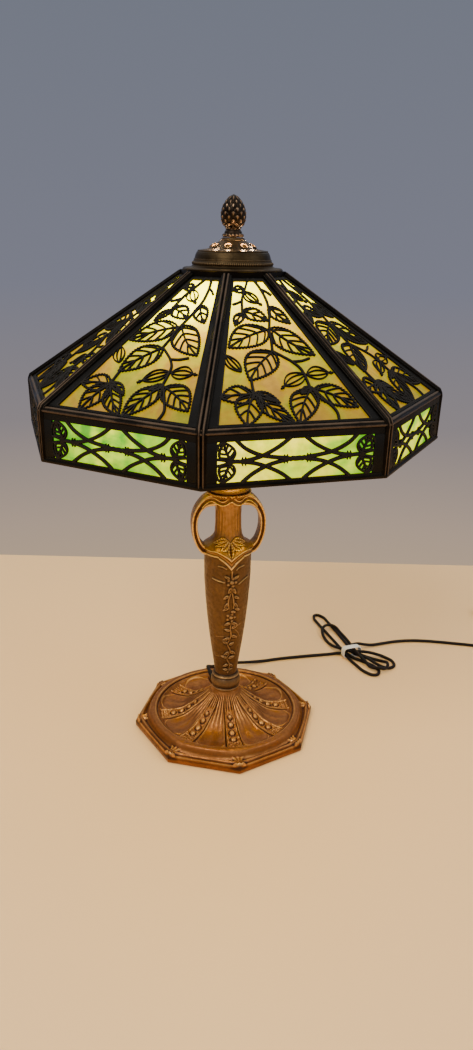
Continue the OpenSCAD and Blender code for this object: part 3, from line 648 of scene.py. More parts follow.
def make_tie():
    """A soft strap round the bundle."""
    around = rounded_ring(TIE_HALF_X, TIE_HALF_Z, TIE_CORNER, 6)
    rows = []
    for across, inset in TIE_SECTION:
        ring = around - inset * unit(around)
        rows.append([hank_to_world(x, across, TIE_Z + z) for x, z in ring])
    s = Sketch()
    s.grid(rows, 0.5, wrap_rows=True, wrap_cols=True)
    tie = s.piece("cord_tie_strap", crease=60)
    return finish_piece(tie, "root", "tie_white", tie_plastic, "cord_tie")


# Stations along the plug from its tail to its face: distance, half width and half height
PLUG_STATIONS = [
    (0, 2.6, 2.6), (0.6, 3.2, 3.2), (2, 4.2, 3.9), (3, 3.7, 3.5), (4.6, 4.8, 4.3), (5.6, 4.2, 4.0),
    (7.4, 5.8, 4.9), (8.4, 5.2, 4.6), (10.5, 7.6, 5.5), (13, 9.6, 6.1), (16, 10.4, 6.35),
    (19, 10.0, 6.0), (22, 10.5, 6.35), (25, 10.9, 6.45), (28.4, 10.9, 6.45), (29.6, 10.5, 6.1),
    (30, 9.8, 5.4)]
GRIP_RIBS, GRIP_FIRST, GRIP_PITCH = 5, 15, 2.4
GRIP_OUT, GRIP_LOW, GRIP_HIGH = 10.3, 2.1, 10.8
GRIP_SECTION = [(-0.6, -0.6), (0.6, -0.6), (0.35, 0.6), (-0.35, 0.6)]


def make_plug():
    """A moulded plug body: a waisted grip with ribs, a flat face and a tapered tail."""
    s = Sketch()
    rows = []
    for y, half_x, half_z in PLUG_STATIONS:
        outline = rounded_ring(half_x, half_z, min(half_x, half_z) * 0.62)
        rows.append([(x, y, PLUG_Z + z) for x, z in outline])
    s.grid(rows, 0.5, wrap_cols=True, caps=True)
    for side in (-1, 1):
        for k in range(GRIP_RIBS):
            y = GRIP_FIRST + GRIP_PITCH * k
            rib = np.array([(side * GRIP_OUT, y, z) for z in (GRIP_LOW, GRIP_HIGH)])
            s.sweep(rib, np.array([(0, 1, 0)] * 2), np.array([(side, 0, 0)] * 2), GRIP_SECTION, 0.6)
    place = moved(*PLUG_AT, 0) @ turned(PLUG_TURN)
    plug = s.piece("plug_moulding", crease=35, place=place)
    return finish_piece(plug, "root", "cord_brown", cord_vinyl, "plug_body")


cord = make_cord()
cord_tie = make_tie()
plug = make_plug()


# ---------------------------------------------------------------- shade

SHADE_TURN = math.radians(-15.3)
EAVE_R, EAVE_Z = 210.0, 396.5
CROWN_R, CROWN_Z = 49.2, 504.8
SKIRT_LOW, SKIRT_MID, SKIRT_HIGH = 349.5, 371.8, 394.0
EAVE_AP, CROWN_AP = EAVE_R * math.cos(HALF), CROWN_R * math.cos(HALF)
SLOPE_ANGLE = math.atan2(CROWN_Z - EAVE_Z, EAVE_AP - CROWN_AP)
SLOPE_LEN = math.hypot(EAVE_AP - CROWN_AP, CROWN_Z - EAVE_Z)
RIB_ANGLE = math.atan2(CROWN_Z - EAVE_Z, EAVE_R - CROWN_R)
RIB_LEN = math.hypot(EAVE_R - CROWN_R, CROWN_Z - EAVE_Z)
FRAME_T, GLASS_T = 2.0, 3.0
SILL, LINTEL = 7.0, 177.0
# The opening's two ends: the place up the slope and the margin at the panel's edge
OPENING_ENDS = ((SILL, 12.6), (LINTEL, 7.0))
EDGE_GAP = 3.8
LEAF_LINE, POD_LINE, STEM_LINE, TENDRIL_LINE, SPRAY_LINE = 1.9, 1.25, 2.3, 3.3, 2.2
LEAF_TOOTH, LEAF_VEIN = 2.6, 8.5
SKIRT_GLASS_HALF_W, SKIRT_GLASS_HALF_H = 74.0, 18.5
SKIRT_BORDER_HALF_W, SKIRT_OPENING_HALF_W, SKIRT_OPENING_HALF_H = 75.9, 67, 16.6

# Leaves of one panel: where each starts, its tip and its width, as across and up the slope from the eave
LEAVES = [
    (-6.5, 165.5, -18, 163.5, 11), (-15.2, 137, 5.8, 124, 17), (11, 142, 25.5, 120, 14.5),
    (-15, 134, -26, 118, 9.5), (2, 113, -37.5, 92, 27), (5, 114.5, 37, 81, 25.5), (0, 86, -28, 54, 28),
    (-28, 38.5, -57.5, 36, 20.5), (-28.5, 38.5, -41.5, 5.5, 23.5), (-27, 40.5, -8, 28, 9.5),
    (-26, 37, -1, 6, 17.5), (22, 42, 2.5, 5.5, 24), (23.5, 44, 12, 36.5, 8), (25, 42.5, 58, 20.5, 23.5)]
PODS = [
    (-7.5, 162, 3.5, 145.5, 12.5), (22, 59, -1, 45.5, 14.5), (23, 58.5, 45, 60, 15.5),
    (-33, 64, -42.5, 85, 12)]
STEMS = [
    [(5, 179), (9, 165), (10.8, 147), (7.8, 128), (4, 113), (2.6, 102), (0, 86)],
    [(0, 179), (-6, 165), (-11, 154), (-14, 142), (-16, 132)],
    [(0, 87), (8, 80), (15, 73), (20.5, 63), (22, 43)],
    [(-26.5, 55), (-27.5, 46), (-28, 38)], [(-12, 150), (-17, 147), (-22, 145)],
    [(9, 165), (13, 162), (17, 157)], [(15, 74), (23, 74.6), (31, 77.5)],
    [(24, 42), (31, 30), (37.5, 17), (36.5, 6)]]
# The crossed curves in the left half of a skirt panel, from the panel's middle
SKIRT_CURVES = [
    [(-51.5, 17.5), (-44, 10.5), (-32, 4.6), (-20, 2.1), (-8, 0.8)],
    [(-6.5, 17.5), (-16, 10.5), (-28, 4.4), (-38, 1.4), (-47, 0.2)],
    [(-46.5, -17.5), (-37, -10.2), (-26, -4.8), (-17, -2.2), (-8, -0.8)],
    [(-5.5, -17.5), (-14.5, -11), (-27, -5), (-37, -1.8), (-47, -0.2)]]


def panel_turn(k):
    return turned(SHADE_TURN + HALF + STEP * k)


def slope_place(k):
    return panel_turn(k) @ moved(0, -EAVE_AP, EAVE_Z) @ tilted(SLOPE_ANGLE)


def skirt_place(k):
    return panel_turn(k) @ moved(0, -EAVE_AP, SKIRT_MID) @ tilted(math.pi / 2)


def slope_half(v, margin):
    """Half the width of a slope panel at v up from the eave, less a margin at its edge."""
    return (EAVE_AP - v * math.cos(SLOPE_ANGLE)) * math.tan(HALF) - margin


def ridge_section(width, height):
    """A bar with straight sides and a rounded top, from its bottom left corner to its bottom right."""
    w, h = width / 2, height
    left = [(-w, -1.9), (-w, h - 0.75), (-0.72 * w, h - 0.25), (-0.3 * w, h)]
    return left + [(-x, y) for x, y in reversed(left)]


# Across a raised line's section: its top is lightest, as rubbing and a painted highlight
RIDGE_WEAR_AND_SHEEN = np.array((0, 0.25, 0.8, 1, 1, 0.8, 0.25, 0))


def flat_path(points):
    """Path, side and up vectors of a line drawn on a panel's face, whose up is the third axis."""
    p = np.asarray(points, float)
    zero = np.zeros(len(p))
    p = np.column_stack([p[:, 0], p[:, 1], zero])
    ways = unit(np.gradient(p, axis=0))
    sides = np.column_stack([ways[:, 1], -ways[:, 0], zero])
    return p, sides, np.tile((0.0, 0.0, 1.0), (len(p), 1))


def draw(s, points, width, height):
    """A raised line on a panel's face, whose top stands height over it."""
    s.sweep(*flat_path(points), ridge_section(width, height), RIDGE_WEAR_AND_SHEEN)


def leaf_half_width(t, width):
    return width / 2 * np.sin(math.pi * np.clip(t, 0, 1) ** 0.74) ** 0.8


def leaf_frame(leaf):
    """Turns leaf points, along and across, into panel points; the midrib sags a little to one side."""
    u0, v0, u1, v1, width = leaf
    length = math.hypot(u1 - u0, v1 - v0)
    along = np.array(((u1 - u0) / length, (v1 - v0) / length))
    across = np.array((-along[1], along[0]))
    sag = 0.05 * length * (1 if u1 + v1 > u0 + v0 else -1)

    def to_panel(t, side):
        t, side = np.broadcast_arrays(np.asarray(t, float), np.asarray(side, float))
        bow = sag * np.sin(math.pi * t)
        origin = np.array((u0, v0))
        return origin + (t * length)[..., None] * along + (side + bow)[..., None] * across
    return to_panel, length, width


def leaf_edge(teeth, tooth, width):
    """One edge of a leaf, along and across, as a row of saw teeth."""
    edge = [(0.0, 0.0)]
    for i in range(teeth):
        for part, out in ((0.12, -0.5), (0.55, 0.15), (0.88, 1.0)):
            t = (i + part) / teeth
            edge.append((t, float(leaf_half_width(t, width)) + out * tooth))
    edge.append((1.0, 0.0))
    return np.array(edge)


def draw_leaf(s, leaf):
    """A leaf in outline with a saw edge, a midrib and curved side veins."""
    line = LEAF_LINE
    to_panel, length, width = leaf_frame(leaf)
    edge = leaf_edge(max(5, round(length / LEAF_TOOTH)), min(0.8, width * 0.045), width)
    veins = max(2, round(length / LEAF_VEIN))
    t = np.linspace(0, 1, 6)
    for side in (-1, 1):
        draw(s, to_panel(edge[:, 0], side * np.maximum(edge[:, 1] - line / 2, 0)), line, 0.0)
        for i in range(veins):
            start = (i + 0.35) / (veins + 0.6)
            end = min(start + 0.24, 0.97)
            reach = float(leaf_half_width(end, width)) - line * 0.6
            draw(s, to_panel(start + (end - start) * t ** 1.35, side * reach * t), line * 0.8, -0.12)
    draw(s, to_panel(np.linspace(-0.03, 1.0, 12), 0.0), line * 0.95, 0.05)


def draw_pod(s, pod):
    """A seed pod: lengthwise lines that meet at both ends, with a small beak."""
    line = POD_LINE
    to_panel, _, width = leaf_frame(pod)
    t = np.linspace(0, 0.92, 12)
    for part in (-1, -0.38, 0.38, 1):
        draw(s, to_panel(t, part * (width / 2 - line / 2) * np.sin(math.pi * t / 0.92) ** 0.75), line, 0.0)
    draw(s, to_panel(np.linspace(0.85, 1.12, 4), 0.0), line * 1.3, 0.0)
    for side in (1, -1):
        draw(s, to_panel(np.array((0.93, 1.04)), np.array((0.0, 1.4 * side))), line * 0.8, 0.0)


def slab(s, corners, low, high, wear_sheen_tone, bevel=0.35):
    """A flat bar from four corners in order, with bevelled top edges."""
    c = np.asarray(corners, float)
    centre = c.mean(axis=0)
    inner = c + bevel * unit(centre - c) * 1.4
    rows = [np.column_stack([p, np.full(4, z)]) for p, z in
            ((c, low), (c, high - bevel), (inner, high))]
    # Its bevelled top edge is lightest: rubbing and a painted highlight
    s.grid(rows, np.array([[wear_sheen_tone * 0.4], [wear_sheen_tone], [wear_sheen_tone * 0.55]]), wrap_cols=True, caps=True)


def slope_bar(s, low, high):
    """A bar of the border right across a slope panel, between two places up the slope."""
    left_low, left_high = slope_half(low, EDGE_GAP), slope_half(high, EDGE_GAP)
    slab(s, [(-left_low, low), (left_low, low), (left_high, high), (-left_high, high)], -FRAME_T, -0.3, 0.4)


def slope_border(s):
    """The flat border round the opening of a slope panel, with a thin raised line at its inner edge."""
    low, high = 5.0, SLOPE_LEN - 4.3
    uneven = ripple(np.arange(24.0)[:, None], 0.0, 5.0, 3) * 0.12
    for side in (-1, 1):
        outer = [(side * slope_half(v, EDGE_GAP), v) for v in (low, high)]
        inner = [(side * slope_half(v, margin), v) for v, margin in ((high, 6.6), (low, 12.4))]
        slab(s, outer + inner, -FRAME_T, -0.35, 0.35)
        foot, top = [(side * slope_half(v, margin), v) for v, margin in OPENING_ENDS]
        draw(s, np.linspace(foot, top, 24) + uneven, 1.5, 0.0)
    slope_bar(s, low, SILL)
    slope_bar(s, LINTEL, high)
    for v, margin in OPENING_ENDS:
        draw(s, [(-slope_half(v, margin), v), (slope_half(v, margin), v)], 1.6, 0.0)


def make_slope_overlay(k):
    s = Sketch()
    slope_border(s)
    for leaf in LEAVES:
        draw_leaf(s, leaf)
    for pod in PODS:
        draw_pod(s, pod)
    for stem in STEMS:
        draw(s, smooth_path(stem, 5), STEM_LINE, 0.05)
    overlay = s.piece(f"slope_overlay_{k + 1}", crease=50, place=slope_place(k))
    finish_piece(overlay, "shade", "shade_metal", leaf_bronze, f"slope_frame_{k + 1}")


def rippled_slab(name, outline, seed, place, tones=(0.5, 0.5)):
    """A sheet of rolled glass with a wavy face; outline gives a point for u and v from 0 to 1."""
    cols, rows = 56, 64
    u, v = np.meshgrid(np.linspace(0, 1, cols), np.linspace(0, 1, rows))
    x, y = outline(u, v)
    edge = np.minimum(np.minimum(u, 1 - u) * 12, np.minimum(v, 1 - v) * 12).clip(0, 1)
    wave = (0.16 * ripple(x, y, 22, seed) + 0.07 * ripple(x, y, 7, seed + 50)) * edge
    front = np.stack([x, y, -FRAME_T - 0.25 + wave], axis=-1)
    back = np.stack([x, y, -FRAME_T - GLASS_T + 0.1 + wave * 0.5], axis=-1)
    s = Sketch()
    tone = tones[0] + (tones[1] - tones[0]) * u + 0.12 * ripple(x, y * 0.4, 16, seed + 9)
    s.grid(front[::-1], tone[::-1])
    s.grid(back, tone)
    n = rows * cols
    rim = [j for j in range(cols)] + [i * cols + cols - 1 for i in range(1, rows)]
    rim += [(rows - 1) * cols + j for j in range(cols - 2, -1, -1)]
    rim += [i * cols for i in range(rows - 2, 0, -1)]
    for a, b in zip(rim, rim[1:] + rim[:1]):
        fa, fb = ((rows - 1 - i // cols) * cols + i % cols for i in (a, b))
        s.faces.append((fa, fb, n + b, n + a))
    return s.piece(name, crease=60, place=place)


def make_slope_glass(k):
    def outline(u, v):
        up = 8 + (SLOPE_LEN - 16) * v
        return (2 * u - 1) * slope_half(up, 5.2), up
    glass = rippled_slab(f"slope_slag_{k + 1}", outline, 100 + k, slope_place(k))
    finish_piece(glass, "shade", "amber_glass", amber_slag, f"slope_glass_{k + 1}")


def only_first(k, node):
    """One CAD node stands for all eight pieces, so the first of them replaces it."""
    return [node] if k == 0 else []


# The tone at the left and the right end of each skirt panel's glass: 0 green to 1 yellow
SKIRT_TONES = [
    (1.1, 0.25), (0.75, 0.35), (0.75, 0.45), (0.3, 0.65), (0.9, 0.5), (0.45, 0.2), (0.7, 0.95),
    (0.2, 0.62)]


def skirt_outline(u, v):
    return (2 * u - 1) * SKIRT_GLASS_HALF_W, (2 * v - 1) * SKIRT_GLASS_HALF_H


def make_skirt_glass():
    for k in range(SIDES):
        glass = rippled_slab(f"skirt_slag_{k + 1}", skirt_outline, 200 + k, skirt_place(k), SKIRT_TONES[k])
        finish_piece(glass, "shade", "green_glass", green_slag, *only_first(k, "skirt_glass"))


def draw_spray(s):
    """The pair of leaves at the left end of a skirt panel: broad, with thick veins."""
    t = np.linspace(0, 1, 12)
    along_vein = np.linspace(0, 1, 5)
    for side in (-1, 1):
        to_panel, _, width = leaf_frame((-55.8, 1.2 * side, -61.8, 16.4 * side, 15.0))
        for edge in (-1, 1):
            draw(s, to_panel(t, edge * (leaf_half_width(t, width) - 1.0)), SPRAY_LINE, 0.0)
            for start in (0.14, 0.36, 0.58):
                reach = float(leaf_half_width(start + 0.2, width)) - 0.9
                draw(s, to_panel(start + 0.22 * along_vein ** 1.2, edge * reach * along_vein), 1.7, -0.1)
        draw(s, to_panel(np.linspace(-0.05, 1.0, 10), 0.0), SPRAY_LINE, 0.05)
        draw(s, smooth_path([(-56, 0), (-61, 1.6 * side), (-67.5, 2.8 * side)], 5), SPRAY_LINE, 0.0)
        draw(s, [(-67.6, 9.5 * side), (-66.4, 13.5 * side), (-62.6, 16.4 * side)], 2.4, -0.05)


def draw_thorn(s, x, side):
    """A short spike that tapers away from the middle stem."""
    base = np.array((x, 0.6 * side))
    reach = np.array((0.5, 3.2 * side))
    path, sides, ups = flat_path([base, base + reach * 0.6, base + reach])
    section = np.array(ridge_section(1.0, 0.0))
    widths = np.array((2.2, 1.2, 0.25))[:, None, None]
    points = (path[:, None, :] + sides[:, None, :] * section[None, :, :1] * widths
              + ups[:, None, :] * section[None, :, 1:])
    s.grid(points, RIDGE_WEAR_AND_SHEEN, wrap_cols=True, caps=True)


def skirt_border(s):
    """The flat border round the opening of a skirt panel."""
    low, high = SKIRT_LOW + 3.7 - SKIRT_MID, SKIRT_HIGH - 0.2 - SKIRT_MID
    half, across, up = SKIRT_BORDER_HALF_W, SKIRT_OPENING_HALF_W, SKIRT_OPENING_HALF_H
    slab(s, [(-half, low), (half, low), (half, -up), (-half, -up)], -FRAME_T, -0.2, 0.35)
    slab(s, [(-half, up), (half, up), (half, high), (-half, high)], -FRAME_T, -0.2, 0.5)
    for side in (-1, 1):
        outer, inner = side * half, side * across
        slab(s, [(outer, -up), (inner, -up), (inner, up), (outer, up)], -FRAME_T, -0.2, 0.3)


def skirt_left_half():
    """The left half of a skirt panel's overlay: crossed curves, a pair of leaves, a stem and its thorns."""
    half = Sketch()
    for curve in SKIRT_CURVES:
        draw(half, smooth_path(curve, 5), TENDRIL_LINE, 0.0)
    draw_spray(half)
    draw(half, smooth_path([(-58, 0), (-52, 0.3), (-46, -0.1), (-38, 0.1)], 4), TENDRIL_LINE, 0.05)
    for x in (-46.5, -44, -11.5, -9):
        draw_thorn(half, x, 1)
        draw_thorn(half, x, -1)
    return half


def make_skirt_overlay(k):
    s = Sketch()
    skirt_border(s)
    left = skirt_left_half()
    s.add(left.verts, left.faces, left.wear_sheen_tone)
    s.add(np.array(left.verts) * (-1, 1, 1), [tuple(reversed(f)) for f in left.faces], left.wear_sheen_tone)
    t = np.linspace(-12, 12, 13)
    draw(s, np.column_stack([t, 0.35 * np.sin(t * 1.4)]), 4.0, 0.15)
    overlay = s.piece(f"skirt_overlay_{k + 1}", crease=50, place=skirt_place(k))
    finish_piece(overlay, "shade", "shade_metal", leaf_bronze, *only_first(k, "skirt_frames"))


def mirrored(half):
    """A section, across, up and a value for rubbing and painted highlight, from its left half, whose last
    point is on the middle line.
    """
    half = np.array(half)
    return np.concatenate([half, half[-2::-1] * (-1, 1, 1)])


# The rib's bead tops are lightest in the third column: rubbing and painted highlights
RIB_SECTION = mirrored([
    (-4.7, -1.6, 0), (-4.7, 0.2, 0.2), (-4.2, 0.7, 0.7), (-3.6, 0.8, 0.2), (-3.3, 1.6, 0.2),
    (-2.7, 2.3, 0.7), (-1.9, 2.6, 1.0), (-1.1, 2.3, 0.75), (-0.5, 1.5, 0.15), (0, 0.9, 0)])


def rib_grid():
    """The rib's section at each point of its path: down the slope, over the eave and down the post."""
    c, s = math.cos(RIB_ANGLE), math.sin(RIB_ANGLE)
    downs = (RIB_LEN - 1.5, RIB_LEN * 0.66, RIB_LEN * 0.33, 9, 4)
    path = [(-EAVE_R + d * c, EAVE_Z + d * s) for d in downs]
    path += [(-EAVE_R + 0.9, EAVE_Z - 0.4), (-EAVE_R + 0.2, EAVE_Z - 3)]
    path += [(-EAVE_R + 0.2, z) for z in (388, 376, 364, SKIRT_LOW + 2.5)]
    path = np.array(path)
    ways = unit(np.gradient(path, axis=0))
    zero, at = np.zeros(len(path)), np.arange(len(path))
    ups = np.column_stack([zero, ways[:, 1], -ways[:, 0]])
    ups = np.where((ups @ np.array((0, -1.0, 0.6)))[:, None] < 0, -ups, ups)
    size = np.interp(at, [0, 4, 6, 10], [1.0, 1.0, 0.92, 0.9])[:, None, None]
    lift = np.interp(at, [0, 4, 5, 10], [0, 0, -1.2, -2.2])[:, None]
    middle = np.column_stack([zero, path]) + ups * lift
    across = np.array((1.0, 0, 0)) * RIB_SECTION[None, :, :1]
    return middle[:, None, :] + size * (across + ups[:, None, :] * RIB_SECTION[None, :, 1:2])


def make_ribs():
    """The moulding over each corner of the shade: a double bead down the slope and down the post."""
    points = rib_grid()
    for k in range(SIDES):
        s = Sketch()
        s.grid(points, RIB_SECTION[:, 2], wrap_cols=True, caps=True)
        rib = s.piece(f"corner_moulding_{k + 1}", crease=35, place=turned(SHADE_TURN + STEP * k))
        finish_piece(rib, "shade", "shade_metal", shade_bronze, *only_first(k, "corner_strips"))


def octagon_moulding(name, profile, node, material):
    """A mitred moulding round the shade. profile is corner radius, height and a value for rubbing and
    painted highlight, in order round it.
    """
    s = Sketch()
    radius, height, wear_sheen_tone = np.array(profile, float).T
    for k in range(SIDES):
        start = SHADE_TURN + FRONT + STEP * k
        near = np.array((math.cos(start), math.sin(start)))
        far = np.array((math.cos(start + STEP), math.sin(start + STEP)))
        rows = []
        for t in np.linspace(0, 1, 13):
            way = near * (1 - t) + far * t
            uneven = 0.06 * math.sin(math.pi * t) * ripple(t * 9 + k * 3.3, height, 2.0, 11)
            rows.append(np.column_stack([(radius + uneven) * way[0], (radius + uneven) * way[1], height]))
        s.grid(rows, wear_sheen_tone, wrap_cols=True, caps=True)
    finish_piece(s.piece(name, crease=35), "shade", "shade_metal", material, node)


# The beads of both mouldings are lightest: rubbing and painted highlights
EAVE_PROFILE = [
    (205.2, 394, 0), (209.6, 393.9, 0.3), (210.3, 394.6, 0.9), (210.4, 395.6, 1.0), (209.9, 396.6, 0.6),
    (209.3, 396.9, 0.15), (208.9, 397.7, 0.7), (208, 398.6, 1.0), (206.7, 398.9, 0.9),
    (205.4, 398.7, 0.2), (204.3, 398.9, 0.3), (203.2, 399.3, 0.9), (201.8, 399.9, 0.9),
    (200.6, 399.6, 0.3), (201.4, 397, 0)]
BOTTOM_PROFILE = [
    (205.5, 349.6, 0.1), (209.2, 349.5, 0.4), (210.4, 350.0, 0.9), (210.9, 351.2, 1.0),
    (210.6, 352.5, 0.8), (209.7, 353.2, 0.3), (209.3, 354.1, 0.5), (208.2, 354.5, 0.5),
    (205.5, 354.4, 0), (205.2, 352, 0)]


def make_shade():
    for k in range(SIDES):
        make_slope_overlay(k)
        make_slope_glass(k)
        make_skirt_overlay(k)
    make_skirt_glass()
    make_ribs()
    octagon_moulding("eave_moulding", EAVE_PROFILE, "eave_ring", shade_bronze)
    octagon_moulding("bottom_moulding", BOTTOM_PROFILE, "bottom_rim", rim_bronze)


make_shade()


# ---------------------------------------------------------------- relief helpers

def spread_rows(a, n):
    """The mean of n rows to each side; the first and last rows carry on past the ends."""
    padded = np.concatenate([np.repeat(a[:1], n, 0), a, np.repeat(a[-1:], n, 0)], axis=0)
    sums = np.cumsum(np.concatenate([np.zeros((1, a.shape[1])), padded], axis=0), axis=0)
    return (sums[2 * n + 1:] - sums[:-2 * n - 1]) / (2 * n + 1)


def spread_round(a, n):
    """The mean of n columns to each side, where the last column meets the first."""
    return sum(np.roll(a, i, axis=1) for i in range(-n, n + 1)) / (2 * n + 1)


def wear_and_light_from(relief, near_rows, near_cols, gain, middle):
    """A value from a relief grid whose columns wrap: high, for rubbing and painted highlight, where it
    stands over its surroundings; low, for patina and painted shade, in its hollows.
    """
    around = spread_round(spread_rows(relief, near_rows), near_cols)
    return np.clip(middle + gain * (relief - around), 0, 1)


def leaf_bump(x, y, at, way, length, width, fold=0.45):
    """Height 0 to 1 of a carved leaf on a flat chart, with pointed ends, a middle groove and side veins."""
    turn = math.radians(way)
    dx, dy = x - at[0], y - at[1]
    along = dx * math.sin(turn) + dy * math.cos(turn)
    across = dx * math.cos(turn) - dy * math.sin(turn)
    t = np.clip(along / length, 0, 1)
    half = width / 2 * np.sin(math.pi * t ** 0.8) ** 0.7 + 1e-6
    q = np.clip(np.abs(across) / half, 0, 1)
    inside = (along > 0) & (along < length) & (np.abs(across) < half)
    body = (1 - q ** 3) ** 0.7 * (1 - fold * bell(across, 0.12 * width + 0.15))
    veins = 1 - 0.16 * np.cos(2 * math.pi * (t * length / (0.32 * width + 1.1) - q * 0.8))
    return np.where(inside, body * veins, 0.0)


def rosette(x, y, at, radius, petals=6):
    """Height 0 to 1 of a small open flower."""
    dx, dy = x - at[0], y - at[1]
    r = np.hypot(dx, dy) / radius
    angle = np.arctan2(dy, dx)
    edge = 0.86 + 0.14 * np.cos(petals * angle)
    petal = np.clip(1 - (r / edge) ** 4, 0, 1) * (0.55 + 0.2 * np.cos(petals * angle) * rise(r, 0.25, 0.6))
    return petal + 0.5 * bell(r, 0.26) - 0.25 * bell(r - 0.42, 0.1)


def line_bump(x, y, points, width):
    """Height 0 to 1 of a thin raised line through points on a flat chart."""
    p = smooth_path(points, 5)
    best = np.full(np.broadcast(x, y).shape, 1e9)
    for a, b in zip(p[:-1], p[1:]):
        d = b - a
        t = np.clip(((x - a[0]) * d[0] + (y - a[1]) * d[1]) / max(d @ d, 1e-9), 0, 1)
        best = np.minimum(best, np.hypot(x - a[0] - t * d[0], y - a[1] - t * d[1]))
    return bell(best, width / 2)


def lathe_points(radius, height, turns):
    """Points at turns round the lamp's axis; radius and height may change from turn to turn."""
    return np.stack(np.broadcast_arrays(radius * np.cos(turns), radius * np.sin(turns), height), axis=-1)


def all_round(steps):
    return np.arange(steps) * 2 * math.pi / steps


# ---------------------------------------------------------------- foot

FOOT_R = 104.6
FELT_T = 1.2
FLUTES = 56
BRIM_R = 86
FOOT_BORE = 5.2
DISH_R = 14.2
dish_height = height_of([
    (5, 46.2), (14.4, 46.2), (15.2, 45), (17.6, 41.2), (25, 33.3), (37.6, 23.2), (50, 15.3), (62, 12.6),
    (72, 12.2), (75.5, 13.4), (78.2, 16.4), (80.4, 18.3), (83, 18.9), (86, 18.6)])
brim_height = height_of([
    (0, 18.6), (0.1, 17.6), (0.2, 15.4), (0.3, 12.4), (0.4, 10.4), (0.47, 9.7), (0.52, 9.9),
    (0.6, 11.4), (0.7, 12.4), (0.8, 11.8), (0.87, 9.9), (0.9, 9.1), (0.95, 8.9), (0.97, 8.3),
    (1.0, 7.6)])


# The beads down the middle of each band of the dish: distance from the axis and radius
BEADS = ((61, 3.0), (51.5, 2.9), (43, 2.5), (35.5, 2.0))
# The outer face and then the hollow underside: distance past the edge or from the axis, and height
FOOT_SIDE = ((0.25, 6.8), (0.3, 5), (0.1, 2.4), (0, FELT_T))
FOOT_UNDER = (
    (95.5, FELT_T), (95.5, 5), (89, 5), (86, 9), (62, 9), (50, 11), (36, 19), (23, 29.4), (13, 36.5),
    (11.5, 39.8), (FOOT_BORE, 39.8))


def band_relief(r, spread, band_half, inside):
    """A band that runs out from the column, edged with a ridge and a groove."""
    ridge = 1.25 * bell(spread - band_half, 0.5) * window(r, 18, 77.5, 3)
    groove = 0.9 * bell(spread - band_half - 1.3, 0.45) * window(r, 22, 77.5, 5)
    return 0.5 * inside * window(r, 27, 77, 4) + ridge - groove


def bead_relief(r, spread):
    """Domes down the middle of a band, each with a groove round it."""
    relief = 0
    for at, radius in BEADS:
        off = np.hypot(r - at, spread)
        dome = np.sqrt(np.clip(1 - (off / radius) ** 2, 0, 1))
        relief = relief + 2.1 * dome - 0.7 * bell(off - radius - 0.7, 0.5)
    return relief


def pebble_relief(r, spread):
    """The lumpy ground of a band, strongest round its outermost bead."""
    pebbles = np.sin(2.3 * r + 2.2 * np.sin(1.9 * spread)) * np.sin(2.0 * spread + 1.8 * np.sin(1.3 * r))
    outer = 0.85 * window(r, 56, 77, 3) * rise(np.hypot(r - BEADS[0][0], spread), 3.2, 5)
    return pebbles * (outer + 0.3 * window(r, 28, 60, 3))


def lobe_relief(r, spread, band_half):
    """A hollow lobe between two bands, with a curved lip at its end and a soft ridge down its middle."""
    start = band_half + 2.2
    q = np.clip((spread - start) / np.maximum(r * HALF - start, 1e-6), -1, 1)
    end = 76 - 9 * np.clip(1 - q, 0, 1) ** 2.5
    scoop = np.clip(q, 0, 1) ** 0.6 * window(r, 34, end, 16) * rise(r, end + 0.8, end - 3.0)
    middle = bell(q - 1, 0.3) * window(r, 40, end, 12)
    return rise(q, -0.02, 0.12) * (0.7 * bell(r - end - 0.8, 0.8) + 1.3 * middle - 2.9 * scoop)


def foot_relief(r, turns, spread):
    """Relief over the dish: flutes by the column, then carved bands with hollow lobes between them."""
    band_half = 3.6 + 0.085 * (r - 20)
    inside = rise(spread, band_half + 0.3, band_half - 0.3)
    relief = band_relief(r, spread, band_half, inside) + bead_relief(r, spread)
    relief = relief + inside * pebble_relief(r, spread) + (1 - inside) * lobe_relief(r, spread, band_half)
    flutes = (0.5 + 0.5 * np.cos(FLUTES * turns)) ** 1.6
    relief = relief - flutes * rise(r, 15.5, 18) * rise(r, 52, 30) * (1 - 0.8 * inside * rise(r, 26, 31))
    return relief - 0.9 * bell(r - 79.3, 0.5) + 0.35 * bell(r - 81.4, 0.9)


def clasp_relief(r, spread):
    """The clasp over each corner of the brim: ridges drawn together in the middle, spread at both ends."""
    waist = 4.4 + 0.13 * (r - 96.5) ** 2
    body = np.clip(1 - (spread / waist) ** 4, 0, 1) ** 0.5 * window(r, 89, 103.6, 2.2)
    ridges = 0.5 + 0.5 * np.cos(2 * math.pi * spread / (0.62 * waist))
    return body * (1.9 + 1.0 * ridges + 0.6 * bell(r - 91, 1.5) + 0.5 * bell(r - 101.5, 1.5))


def foot_unevenness(r, turns):
    return 0.10 * ripple(r * np.cos(turns), r * np.sin(turns), 9, 5)


def dish_rows(turns, from_corner):
    """Points and relief of each row of the dish, from the bore out to the brim."""
    r = FOOT_BORE
    yield lathe_points(r, dish_height(r) + foot_unevenness(r, turns), turns), 0 * turns
    for r in np.linspace(DISH_R, BRIM_R, 128):
        relief = foot_relief(r, turns - FRONT, r * np.sin(from_corner))
        yield lathe_points(r, dish_height(r) + relief + foot_unevenness(r, turns), turns), relief


